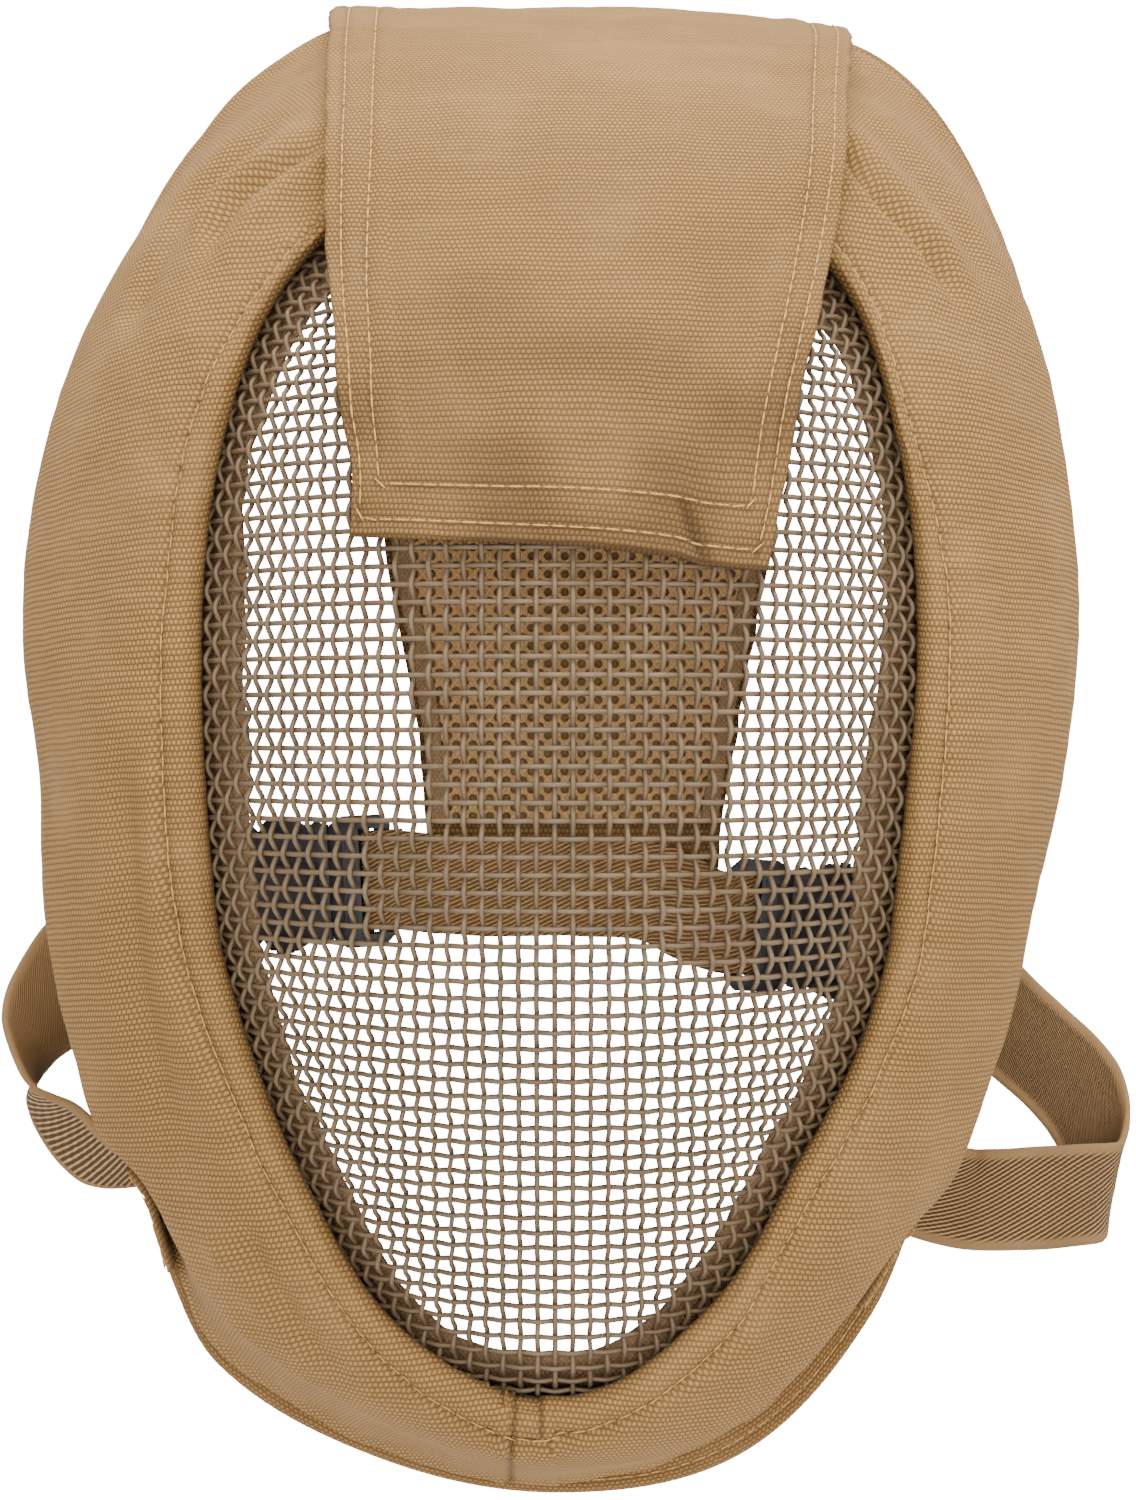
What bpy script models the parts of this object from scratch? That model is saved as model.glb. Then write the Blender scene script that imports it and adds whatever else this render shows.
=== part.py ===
"""A full-face fencing-style mask: a woven wire dome in a padded fabric cover, with a head strap.

The mask lies on its back rim with the window facing up. X runs to the wearer's left, Y to the
forehead and Z up, and Z = 0 is the surface it lies on. Lengths in the tables are millimetres, and
a clock angle is measured in plan from the forehead, towards +X, about the middle of the window.
"""

import math
from collections import namedtuple

import bmesh
import bpy
from mathutils import Vector

MM = 0.001
SHARP_ANGLE = 40.0

# Small steps that slopes are measured over.
SHARE_STEP = 0.001
LENGTH_STEP = 0.05
CLOCK_STEP = 0.5
FURTHEST = 160.0
HALVINGS = 40

# Places the middle of the whole part's footprint, loops of elastic included, on the origin.
MASK_OFFSET = Vector((-3.33, -0.65, 0.0))

# The wire dome: a rim in one plane, and half-elliptic sections from forehead to chin.
RIM_Z = 9.0
WIRE_SHELL = 1.6
DomeSection = namedtuple("DomeSection", "y crest_z half_width")
DOME_SECTIONS = (
    DomeSection(136, RIM_Z, 12),
    DomeSection(131, 40, 36),
    DomeSection(122, 61, 54),
    DomeSection(107, 82, 68),
    DomeSection(86, 105, 77),
    DomeSection(60, 123, 83),
    DomeSection(26, 128, 86),
    DomeSection(0, 128, 86),
    DomeSection(-38, 122.5, 79),
    DomeSection(-60, 114.5, 73),
    DomeSection(-80, 104, 67.5),
    DomeSection(-100, 93.5, 60),
    DomeSection(-118, 83, 49),
    DomeSection(-128, 52, 37),
    DomeSection(-139, RIM_Z, 12),
)

# The padded cover, in plan radii about the middle of the window, by clock angle.
WINDOW_MIDDLE_Y = -5.0
CoverStation = namedtuple(
    "CoverStation", "clock window_left window_right left right rim_left rim_right bulge_z roll groove"
)
COVER_STATIONS = (
    CoverStation(0, 109.5, 109.5, 141.5, 141.5, 149.5, 149.5, 40, 4.2, -1.5),
    CoverStation(15, 109, 110, 144, 142.5, 153.5, 152, 42, 4.6, -1),
    CoverStation(30, 101.2, 105.7, 136.5, 141, 145.5, 154, 45, 7.5, 4.5),
    CoverStation(45, 84.6, 88.6, 123, 125, 131, 133.5, 48, 8.3, 6),
    CoverStation(60, 73.5, 75.6, 114.5, 112.5, 117, 116.5, 52, 8.3, 6),
    CoverStation(75, 66.3, 67.9, 104.5, 102.5, 104, 102.5, 55, 8.3, 6),
    CoverStation(90, 63.5, 64.5, 97.5, 95.5, 96, 94.5, 56, 8.3, 6),
    CoverStation(105, 64.7, 65.2, 100, 93.5, 97, 93, 57, 8.3, 6),
    CoverStation(120, 69.5, 69.4, 107, 96.5, 104, 96.5, 58, 8.3, 6),
    CoverStation(135, 76.5, 75.6, 112.5, 102, 114.5, 105, 60, 8.3, 6),
    CoverStation(150, 87.3, 85.8, 120, 112.5, 134, 125, 63, 8.3, 6),
    CoverStation(165, 102.8, 100.6, 124, 124.5, 141.2, 139.8, 67, 8.3, 6),
    CoverStation(180, 112.3, 112.3, 127.5, 127.5, 143.4, 143.4, 70, 8.3, 6),
)
CHIN_SEAM_CLOCK = 183.7
SEAM_GAP = 0.35
STATION_STEP = 7.5

# The padded cover's section: a rolled window edge, a sewn groove and a falling outer pad. The
# table gives the heights of the roll and the groove above the wires at the window edge.
ROLL_WIDTH = 9.0
RollPoint = namedtuple("RollPoint", "beyond_window height_share least")
ROLL_LINE = (
    RollPoint(-0.2, 0.35, 3.6),
    RollPoint(0.6, 0.75, 3.9),
    RollPoint(2.5, 0.97, 4.0),
    RollPoint(5.4, 0.95, 3.9),
)
PAD_LEAST = 5.0
PAD_FALL_POWER = 1.3
PAD_STEPS = 6
WALL_STEPS = 4
WALL_FLARE = 1.25
INNER_STEPS = 10
LINING_STEPS = 6
COVER_CLEARANCE = 2.6
INNER_START = 1.5
SEAM_RADIUS = 115.0

# The lining inside the wires shows as a narrow band round the window.
LINING_REACH = 7.0
LINING_WALL = 2.0
LINING_CLEARANCE = 1.4

# The bound back rim that the mask lies on.
BINDING_TOP = 8.2
BINDING_ROUND = 1.6
RimCrossing = namedtuple("RimCrossing", "clock half_width lift")
RIM_CROSSINGS = (
    RimCrossing(2.5, 22, 2.8),
    RimCrossing(118, 14, 2.6),
    RimCrossing(-112, 14, 2.6),
)
LIFT_FADE = 9.0

# The visor: the wire dome as a shell, cut through by a net of openings inside the window.
HOLE_COLUMNS = 9
HOLE_SHARE = 0.172
RIB_SHARE = 0.028
HOLE_ROWS = 14
HOLE_PITCH = 15.2
RIB_WIDTH = 2.4
TOP_ROW_Y = 98.0
SKIRT_SHARES = (0.87, 0.94, 0.98, 1.0)
TOP_SKIRT = (110, 121, 129, 134, 136)
CHIN_SKIRT = (-125, -132, -137, -139)
HOLE_MARGIN = 1.0

# The head strap: a sewn flap over the forehead, folded round the rim and back inside the hollow.
# Each row is its outer face: the middle's y and z, the two side edges, and how far an edge 40 mm
# from the middle falls and draws back.
STRAP_WALL = 2.2
STRAP_ACROSS = 8
StrapRow = namedtuple("StrapRow", "y z left right fall back")
STRAP_ROWS = (
    StrapRow(36, 131.3, -36, 37.4, 13, 0),
    StrapRow(48, 130.1, -36, 40.5, 13, 0),
    StrapRow(60, 127.6, -38, 43, 12.5, 0),
    StrapRow(72, 122.4, -39.3, 46, 11.5, 0),
    StrapRow(84, 115.0, -40.8, 49, 10.0, 0),
    StrapRow(96, 106.0, -41.7, 51.5, 8.5, 0),
    StrapRow(108, 95.5, -42.3, 53.5, 6.5, 0),
    StrapRow(118, 84.5, -42.6, 54.5, 6.5, 0),
    StrapRow(127, 72, -43, 55.5, 6.5, 0.5),
    StrapRow(134.5, 58, -43.5, 56.5, 4.5, 1),
    StrapRow(140.5, 42, -44, 57.5, 3, 1),
    StrapRow(145.5, 24, -44.6, 58, 2, 1.5),
    StrapRow(148.6, 9, -45, 58, 0, 2),
    StrapRow(149.3, 3.6, -45, 57.5, 0, 2),
    StrapRow(147.6, 0.5, -45, 57, 0, 2),
    StrapRow(144.5, 0, -45, 57, 0, 2),
    StrapRow(110, 0, -42.5, 53, 0, 0),
    StrapRow(70, 0, -38, 47, 0, 0),
    StrapRow(40, 0, -34.5, 43, 0, 0),
    StrapRow(10, 0, -29, 37.5, 0, 0),
    StrapRow(-16, 0, -26, 33.4, 0, 0),
    StrapRow(-37, 0, -25, 31.5, 0, 0),
)

# The padded mesh on the inner face of the head strap, where it lies inside the mask.
CrownPadRow = namedtuple("CrownPadRow", "y left right")
CROWN_PAD_ROWS = (
    CrownPadRow(116, -41, 50.5),
    CrownPadRow(80, -37.5, 47),
    CrownPadRow(40, -33, 41.5),
    CrownPadRow(10, -27.7, 36.2),
    CrownPadRow(-14.5, -25, 32.4),
)
CROWN_PAD_LOW = STRAP_WALL + 0.3
CROWN_PAD_WALL = 2.6

# The side-release buckles. In a buckle's own plan, u runs from the plug's bar to the socket's bar
# and v across it; each lies at a place in plan, turned by an angle in degrees.
BuckleRest = namedtuple("BuckleRest", "x y turn")
BUCKLES = {"left": BuckleRest(-33.0, -26.0, 183.0), "right": BuckleRest(34.4, -34.8, -4.0)}
BUCKLE_HEIGHT = 7.6
BAR_LOW, BAR_HIGH = 2.7, 4.7
BAR_REACH = 10.4
Bar = namedtuple("Bar", "u_low u_high slot_side")
PLUG_BAR = Bar(0.0, 2.2, 1)
SOCKET_BAR = Bar(35.4, 37.6, -1)

# The buckles' outlines in their own plan, as (u, v) on one side of the middle.
PLUG_OUTLINE = ((0, 11.2), (2.0, 13.2), (9.5, 13.2), (12.0, 11.6))
# Each slot and the tongue: where it starts and ends along u, and its half width.
PLUG_SLOT = (2.2, 6.0, 10.6)
ARM_OUTLINE = (
    (11.0, 8.2),
    (11.0, 11.0),
    (17.0, 11.8),
    (19.5, 13.4),
    (25.0, 13.0),
    (26.5, 10.6),
    (25.0, 9.2),
    (16.0, 8.6),
)
TONGUE = (11.0, 24.0, 3.0)
SOCKET_OUTLINE = (
    (12.4, 11.6),
    (15.0, 12.4),
    (18.5, 9.8),
    (25.5, 9.8),
    (28.5, 13.0),
    (35.8, 13.0),
    (37.6, 11.2),
)
SOCKET_HOLLOW_START = 12.0
SOCKET_HOLLOW_END = 28.0
SOCKET_HOLLOW_HALF = 20.0
SOCKET_PLATE = 1.5
SOCKET_SLOT = (31.6, 35.4, 10.6)
ARM_LOW, ARM_HIGH = 1.9, 5.7
PLUG_INSET = 0.4
CUT_PAST = 1.0
BAR_CUT_PAST = 1.0

# Webbing and elastic, each a flat ribbon along a route: points on its middle line, each with the
# direction of its width there. Each end turns round a buckle's bar and ends in a short tail.
WEBBING_WIDTH = 20.0
BAND_WALL = 1.6
STRAP_GAP = 0.65
BEND_DROP = 1.5
BEND_SPREAD = 0.25
BAR_LEAD = 0.4
RUN_START = 0.8
RibbonPoint = namedtuple("RibbonPoint", "x y z width_x width_y width_z")

BAND_TAILS = {"left": 2.5, "right": 0.2}
ELASTIC_TAILS = {"left": 1.0, "right": 0.4}
BAND_MIDDLE = (
    RibbonPoint(-24, -26.9, 3.5, 0, 1, 0),
    RibbonPoint(-12, -27.4, 3.4, 0, 1, 0),
    RibbonPoint(8, -27.5, 3.4, 0, 1, 0),
    RibbonPoint(20, -28.8, 3.4, 0.12, 1, 0),
    RibbonPoint(27.5, -32.6, 4.6, 0.1, 1, 0),
)
LEFT_ROUTE = (
    RibbonPoint(-76, -28.8, 1.0, -0.1, 1, 0),
    RibbonPoint(-82.5, -32, 0.9, -0.25, 1, 0),
    RibbonPoint(-90, -37.5, 0.95, -0.45, 0.9, 0),
    RibbonPoint(-96.5, -43.5, 1.6, -0.68, 0.73, 0),
    RibbonPoint(-100.9, -51.0, 5.2, -0.85, 0.3, 0.35),
    RibbonPoint(-103.6, -59, 8.9, -0.6, 0.1, 0.75),
    RibbonPoint(-104.6, -66.5, 10.8, -0.15, 0, 0.99),
    RibbonPoint(-102.5, -73, 10.8, 0.3, 0.25, 0.9),
    RibbonPoint(-97.5, -78, 10.5, 0.42, 0.42, 0.8),
    RibbonPoint(-91.5, -82.3, 10.8, 0.3, 0.4, 0.9),
    RibbonPoint(-86, -86.4, 11.2, 0, 0, 1),
)
RIGHT_ROUTE = (
    RibbonPoint(76.4, -38.0, 1.0, 0.1, 1, 0),
    RibbonPoint(83.5, -46.5, 0.9, 0.45, 0.88, 0),
    RibbonPoint(90.4, -55.7, 0.9, 0.68, 0.73, 0),
    RibbonPoint(98, -63, 0.9, 0.66, 0.75, 0),
    RibbonPoint(104.5, -70.5, 1.8, 0.5, 0.85, 0),
    RibbonPoint(109.6, -77.5, 5, 0.3, 0.95, 0),
    RibbonPoint(111.5, -83.0, 9.5, 0.16, 0.98, 0),
    RibbonPoint(110.0, -86.8, 13.8, 0.08, 0.98, 0),
    RibbonPoint(105, -88.8, 15.5, 0.08, 1, 0),
    RibbonPoint(96, -89.4, 15, 0, 1, 0.1),
    RibbonPoint(87.5, -90, 14, -0.08, 1, 0.5),
    RibbonPoint(80.5, -90.5, 13.2, -0.2, 0.6, 0.9),
    RibbonPoint(75.6, -91.4, 12.6, -0.2, 0.2, 1),
)
ROUTE_STEPS = 2

# The straps are sewn to the cover's wall at these short tabs.
TAB_THICK = 2.0
TAB_LOW = RIM_Z + 0.4
TAB_HEIGHT = 16.0
TAB_CLEARANCE = 0.7
TAB_STEPS = 4
TAB_CLOCKS = {"strap_tab_left": (-133.5, -142.5), "strap_tab_right": (141.0, 150.5)}

# The plain colours of the solids.
CANVAS = (0.45, 0.28, 0.13)
LINING = (0.20, 0.12, 0.06)
WIRE = (0.25, 0.18, 0.10)
GREY = (0.035, 0.036, 0.04)


def smooth_curve(rows):
    """A function through (key, value) rows in rising key order, with Catmull-Rom slopes."""
    keys = [row[0] for row in rows]
    values = [row[1] for row in rows]
    last = len(keys) - 1

    def slope(i):
        before, after = max(i - 1, 0), min(i + 1, last)
        return (values[after] - values[before]) / (keys[after] - keys[before])

    def value_at(key):
        i = 0
        while i < last - 1 and key > keys[i + 1]:
            i += 1
        span = keys[i + 1] - keys[i]
        t = min(max((key - keys[i]) / span, 0.0), 1.0)
        a, b = values[i], values[i + 1]
        ma, mb = slope(i) * span, slope(i + 1) * span
        return (
            a
            + ma * t
            + (3 * (b - a) - 2 * ma - mb) * t * t
            + (2 * (a - b) + ma + mb) * t * t * t
        )

    return value_at


# The sections are spaced by angle along the dome's length, so that its ends come out round.
DOME_MIDDLE = (DOME_SECTIONS[0].y + DOME_SECTIONS[-1].y) / 2
DOME_HALF_LENGTH = (DOME_SECTIONS[0].y - DOME_SECTIONS[-1].y) / 2


def dome_angle(y):
    """The angle along the dome's length that stands for this y."""
    share = (y - DOME_MIDDLE) / DOME_HALF_LENGTH
    return math.asin(min(max(share, -1.0), 1.0))


CREST = smooth_curve([(dome_angle(row.y), row.crest_z) for row in reversed(DOME_SECTIONS)])
HALF_WIDTH = smooth_curve([(dome_angle(row.y), row.half_width) for row in reversed(DOME_SECTIONS)])


def dome_by_share(share, y):
    """The dome at this share of its half width, from -1 to 1, in the section at y."""
    angle = dome_angle(y)
    height = (CREST(angle) - RIM_Z) * math.sqrt(max(1 - share * share, 0.0))
    return Vector((share * HALF_WIDTH(angle), y, RIM_Z + height))


def clock_direction(clock):
    """The unit vector in plan that points along this clock angle."""
    return Vector((math.sin(math.radians(clock)), math.cos(math.radians(clock)), 0.0))


def dome_reach(clock):
    """The plan radius at which the ray at this clock angle meets the dome's rim."""
    ray = clock_direction(clock)
    low, high = 0.0, FURTHEST
    for _ in range(HALVINGS):
        middle = (low + high) / 2
        x, y = ray.x * middle, WINDOW_MIDDLE_Y + ray.y * middle
        if abs(y - DOME_MIDDLE) < DOME_HALF_LENGTH and abs(x) < HALF_WIDTH(dome_angle(y)):
            low = middle
        else:
            high = middle
    return low


def dome_on_ray(clock, radius):
    """The point of the dome's surface above this clock angle and radius."""
    ray = clock_direction(clock)
    y = WINDOW_MIDDLE_Y + ray.y * radius
    angle = dome_angle(y)
    share = min(abs(ray.x * radius) / HALF_WIDTH(angle), 1.0)
    height = (CREST(angle) - RIM_Z) * math.sqrt(1 - share * share)
    return Vector((ray.x * radius, y, RIM_Z + height))


def column(name, clock_sign):
    """One column of the cover's table as a curve over the half circle on one side."""
    rows = [(row.clock, getattr(row, name)) for row in COVER_STATIONS]
    mirrored = [(-key, value) for key, value in reversed(rows[1:4])]
    beyond = [(360 - key, value) for key, value in reversed(rows[-4:-1])]
    curve = smooth_curve(mirrored + rows + beyond)
    return lambda clock: curve(clock_sign * clock)


def side_curves(name_left, name_right):
    """A function of clock angle from one column for the left side and one for the right."""
    left, right = column(name_left, -1), column(name_right, 1)

    def value_at(clock):
        clock = (clock + 180.0) % 360.0 - 180.0
        return right(clock) if clock >= 0 else left(clock)

    return value_at


WINDOW = side_curves("window_left", "window_right")
BULGE = side_curves("left", "right")
RIM = side_curves("rim_left", "rim_right")
BULGE_Z = side_curves("bulge_z", "bulge_z")
ROLL = side_curves("roll", "roll")
GROOVE = side_curves("groove", "groove")


def cover_outside(clock):
    """The cover's outer line in its upright plane, as (radius, z) from window edge to rim."""
    window, bulge, rim, bulge_z = WINDOW(clock), BULGE(clock), RIM(clock), BULGE_Z(clock)
    edge_z, roll = dome_on_ray(clock, window).z, ROLL(clock)
    line = []
    for point in ROLL_LINE:
        height = max(point.height_share * roll, point.least)
        line.append((window + point.beyond_window, edge_z + height))
    groove, groove_z = window + ROLL_WIDTH, edge_z + GROOVE(clock)
    groove = min(groove, bulge - PAD_LEAST)
    for step in range(PAD_STEPS + 1):
        share = math.sin(math.radians(90.0 * step / PAD_STEPS))
        fall = (1 - share**PAD_FALL_POWER) ** (1 / PAD_FALL_POWER)
        line.append((groove + (bulge - groove) * share, bulge_z + (groove_z - bulge_z) * fall))
    for step in range(1, WALL_STEPS + 1):
        share = step / WALL_STEPS
        line.append((bulge + (rim - bulge) * share**WALL_FLARE, bulge_z + (RIM_Z - bulge_z) * share))
    return line


def dome_offset(clock, radius, offset):
    """A point off the dome by this much along its outward normal, on or near the ray."""
    reach = dome_reach(clock)
    radius = min(radius, reach)
    here = dome_on_ray(clock, radius)
    next_clock = clock + CLOCK_STEP
    beside = dome_on_ray(next_clock, radius * dome_reach(next_clock) / reach)
    inward = dome_on_ray(clock, max(radius - LENGTH_STEP, 0.0))
    normal = (here - inward).cross(beside - here)
    normal = -normal.normalized() if normal.z < 0 else normal.normalized()
    if radius >= reach:
        normal = Vector((normal.x, normal.y, 0.0)).normalized()
    return here + normal * offset


def dome_line(clock, first_radius, offset, steps):
    """Points along the dome from this radius down to the rim, off its surface by the offset."""
    reach = dome_reach(clock)
    points = []
    for step in range(steps + 1):
        share = math.sin(math.radians(90.0 * step / steps))
        points.append(dome_offset(clock, first_radius + (reach - first_radius) * share, offset))
    return points


def on_ray(clock, radius, z):
    """The point at this clock angle, radius and height."""
    ray = clock_direction(clock)
    return Vector((ray.x * radius, WINDOW_MIDDLE_Y + ray.y * radius, z))


def make_object(name, colour, roughness, metallic=0.0):
    """An empty mesh object with its own material."""
    mesh = bpy.data.meshes.new(name)
    piece = bpy.data.objects.new(name, mesh)
    bpy.context.scene.collection.objects.link(piece)
    material = bpy.data.materials.new(name)
    material.use_nodes = True
    shader = material.node_tree.nodes["Principled BSDF"]
    shader.inputs["Base Color"].default_value = (*colour, 1.0)
    shader.inputs["Roughness"].default_value = roughness
    shader.inputs["Metallic"].default_value = metallic
    mesh.materials.append(material)
    return piece


def fill_object(piece, points, faces):
    """Gives the object a closed mesh of these points, in mask millimetres, facing outwards."""
    shape = bmesh.new()
    verts = [shape.verts.new((point + MASK_OFFSET) * MM) for point in points]
    for face in faces:
        shape.faces.new([verts[i] for i in face])
    bmesh.ops.recalc_face_normals(shape, faces=shape.faces[:])
    shape.to_mesh(piece.data)
    shape.free()
    piece.data.shade_smooth()
    piece.data.set_sharp_from_angle(angle=math.radians(SHARP_ANGLE))


def loft(piece, sections, closed):
    """Skins closed loops of points, one loop a section, into a ring or a capped bar."""
    size = len(sections[0])
    count = len(sections)
    points = [point for section in sections for point in section]
    faces = []
    for i in range(count if closed else count - 1):
        here, after = i * size, (i + 1) % count * size
        for j in range(size):
            k = (j + 1) % size
            faces.append((here + j, here + k, after + k, after + j))
    if not closed:
        faces.append(tuple(range(size)))
        faces.append(tuple((count - 1) * size + j for j in reversed(range(size))))
    fill_object(piece, points, faces)


def visor_lines():
    """The shares and the y rows of the visor's net: skirt, then rib edge by rib edge, then skirt."""
    shares = []
    for i in range(HOLE_COLUMNS + 1):
        middle = (i - HOLE_COLUMNS / 2) * HOLE_SHARE
        shares += [middle - RIB_SHARE / 2, middle + RIB_SHARE / 2]
    shares = [-s for s in reversed(SKIRT_SHARES)] + shares + list(SKIRT_SHARES)
    rows = list(reversed(TOP_SKIRT))
    for i in range(HOLE_ROWS + 1):
        middle = TOP_ROW_Y - i * HOLE_PITCH
        rows += [middle + RIB_WIDTH / 2, middle - RIB_WIDTH / 2]
    rows += list(CHIN_SKIRT)
    return shares, rows


def dome_normal(share, y):
    """The dome's outward normal, from small steps towards its middle."""
    step_share = -math.copysign(SHARE_STEP, share)
    step_y = -math.copysign(LENGTH_STEP, y)
    here = dome_by_share(share, y)
    across = (dome_by_share(share + step_share, y) - here) / step_share
    along = (dome_by_share(share, y + step_y) - here) / step_y
    return across.cross(along).normalized()


def build_visor():
    """The wire dome as one shell, cut through by the net of openings inside the window."""
    shares, rows = visor_lines()
    wide = len(shares)
    points = []
    for side in (0.5, -0.5):
        for y in rows:
            for share in shares:
                here = dome_by_share(share, y)
                off = here + dome_normal(share, y) * side * WIRE_SHELL
                if here.z < RIM_Z + LENGTH_STEP:
                    off.z = RIM_Z
                points.append(off)
    under = wide * len(rows)

    def is_hole(i, j):
        across, down = i - len(SKIRT_SHARES), j - len(TOP_SKIRT)
        if across % 2 == 0 or down % 2 == 0:
            return False
        if not (0 < across < 2 * HOLE_COLUMNS and 0 < down < 2 * HOLE_ROWS):
            return False
        middle = dome_by_share((shares[i] + shares[i + 1]) / 2, (rows[j] + rows[j + 1]) / 2)
        clock = math.degrees(math.atan2(middle.x, middle.y - WINDOW_MIDDLE_Y))
        radius = math.hypot(middle.x, middle.y - WINDOW_MIDDLE_Y)
        return radius < WINDOW(clock) + HOLE_MARGIN

    solid = {}
    for j in range(len(rows) - 1):
        for i in range(wide - 1):
            solid[i, j] = not is_hole(i, j)
    faces = []
    for (i, j), kept in solid.items():
        if not kept:
            continue
        a, b = j * wide + i, j * wide + i + 1
        c, d = b + wide, a + wide
        faces.append((a, b, c, d))
        faces.append((under + d, under + c, under + b, under + a))
        edges = (((i, j - 1), a, b), ((i + 1, j), b, c), ((i, j + 1), c, d), ((i - 1, j), d, a))
        for neighbour, start, end in edges:
            if not solid.get(neighbour, False):
                faces.append((end, start, under + start, under + end))
    fill_object(make_object("visor_mesh", WIRE, 0.45, 0.6), points, faces)


def clocks_between(first, last):
    """Clock angles of the sections from first to last, about one station step apart."""
    count = max(2, round((last - first) / STATION_STEP))
    return [first + (last - first) * i / count for i in range(count + 1)]


def build_cover(name, first, last):
    """One half of the padded cover, between two clock angles."""
    gap = math.degrees(SEAM_GAP / 2 / SEAM_RADIUS)
    sections = []
    for clock in clocks_between(first + gap, last - gap):
        outside = [on_ray(clock, radius, z) for radius, z in cover_outside(clock)]
        offset = WIRE_SHELL / 2 + COVER_CLEARANCE
        inside = dome_line(clock, WINDOW(clock) + INNER_START, offset, INNER_STEPS)
        sections.append(outside + list(reversed(inside)))
    loft(make_object(name, CANVAS, 0.9), sections, closed=False)


def ring_clocks():
    """Clock angles of the sections of a whole ring, starting at the chin seam."""
    count = round(360 / STATION_STEP)
    return [CHIN_SEAM_CLOCK + 360.0 * i / count for i in range(count)]


def build_lining():
    """The thin lining inside the wires, from just inside the window edge to the rim."""
    sections = []
    offset = WIRE_SHELL / 2 + LINING_CLEARANCE
    for clock in ring_clocks():
        first = WINDOW(clock) - LINING_REACH
        near = dome_line(clock, first, -offset, LINING_STEPS)
        far = dome_line(clock, first, -offset - LINING_WALL, LINING_STEPS)
        sections.append(near + list(reversed(far)))
    loft(make_object("inner_lining", LINING, 0.9), sections, closed=True)


def rim_lift(clock):
    """How far the soft rim is raised at this clock angle, over the straps that pass under it."""
    lift = 0.0
    for crossing in RIM_CROSSINGS:
        away = abs((clock - crossing.clock + 180.0) % 360.0 - 180.0) - crossing.half_width
        share = min(max(1.0 - away / LIFT_FADE, 0.0), 1.0)
        lift = max(lift, crossing.lift * share * share * (3 - 2 * share))
    return lift


def build_binding():
    """The tape bound round the back rim, flat where the mask lies on it."""
    sections = []
    for clock in ring_clocks():
        outer = RIM(clock)
        inner = dome_reach(clock) - WIRE_SHELL / 2 - LINING_CLEARANCE - LINING_WALL
        low = rim_lift(clock)
        line = (
            (inner, low),
            (outer - BINDING_ROUND, low),
            (outer, low + BINDING_ROUND),
            (outer, BINDING_TOP - BINDING_ROUND),
            (outer - BINDING_ROUND, BINDING_TOP),
            (inner, BINDING_TOP),
        )
        sections.append([on_ray(clock, radius, z) for radius, z in line])
    loft(make_object("rim_binding", CANVAS, 0.9), sections, closed=True)


def strap_point(row, x):
    """A point on the head strap's outer face."""
    share = (x / 40.0) ** 2
    return Vector((x, row.y - row.back * share, row.z - row.fall * share))


def build_head_strap():
    """The head strap as one sheet of even thickness, swept along its table of rows."""
    sections = []
    last = len(STRAP_ROWS) - 1
    for i, row in enumerate(STRAP_ROWS):
        before, after = STRAP_ROWS[max(i - 1, 0)], STRAP_ROWS[min(i + 1, last)]
        outer, inner = [], []
        for j in range(STRAP_ACROSS + 1):
            x = row.left + (row.right - row.left) * j / STRAP_ACROSS
            here = strap_point(row, x)
            along = strap_point(after, x) - strap_point(before, x)
            across = strap_point(row, x + 1) - strap_point(row, x - 1)
            normal = across.cross(along).normalized()
            outer.append(here)
            inner.append(here - normal * STRAP_WALL)
        sections.append(outer + list(reversed(inner)))
    loft(make_object("head_strap", CANVAS, 0.9), sections, closed=False)


def build_crown_pad():
    """The pad of open mesh that lies on the head strap inside the hollow."""
    sections = []
    for y, left, right in CROWN_PAD_ROWS:
        low, high = CROWN_PAD_LOW, CROWN_PAD_LOW + CROWN_PAD_WALL
        line = ((left, low), (right, low), (right, high), (left, high))
        sections.append([Vector((x, y, z)) for x, z in line])
    loft(make_object("crown_pad", LINING, 0.95), sections, closed=False)


def buckle_point(rest, u, v, z):
    """A point of a buckle's own plan, placed where that buckle lies."""
    cos, sin = math.cos(math.radians(rest.turn)), math.sin(math.radians(rest.turn))
    return Vector((rest.x + u * cos - v * sin, rest.y + u * sin + v * cos, z))


def bar_loop(rest, bar, tail, tail_over):
    """The route of a strap round a buckle's bar, from its tail, by the slot, to its long run.

    The tail lies over the bar and the long run under it, or the other way round.
    """
    middle, half = (bar.u_low + bar.u_high) / 2, (bar.u_high - bar.u_low) / 2
    off = STRAP_GAP + BAND_WALL / 2
    turn_off = off + BEND_SPREAD
    first, last, bend = BAR_LOW - off, BAR_HIGH + off, BEND_DROP
    if tail_over:
        first, last, bend = last, first, -bend
    round_bar = (
        (-half - tail, first),
        (half - BAR_LEAD, first),
        (half + turn_off, first + bend),
        (half + turn_off, last - bend),
        (half - BAR_LEAD, last),
        (-half - RUN_START, last),
    )
    turn = math.radians(rest.turn)
    side = 1 if math.cos(turn) > 0 else -1
    route = []
    for along, z in round_bar:
        x, y, z = buckle_point(rest, middle + bar.slot_side * along, 0, z)
        route.append(RibbonPoint(x, y, z, -math.sin(turn) * side, math.cos(turn) * side, 0))
    return route


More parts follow.
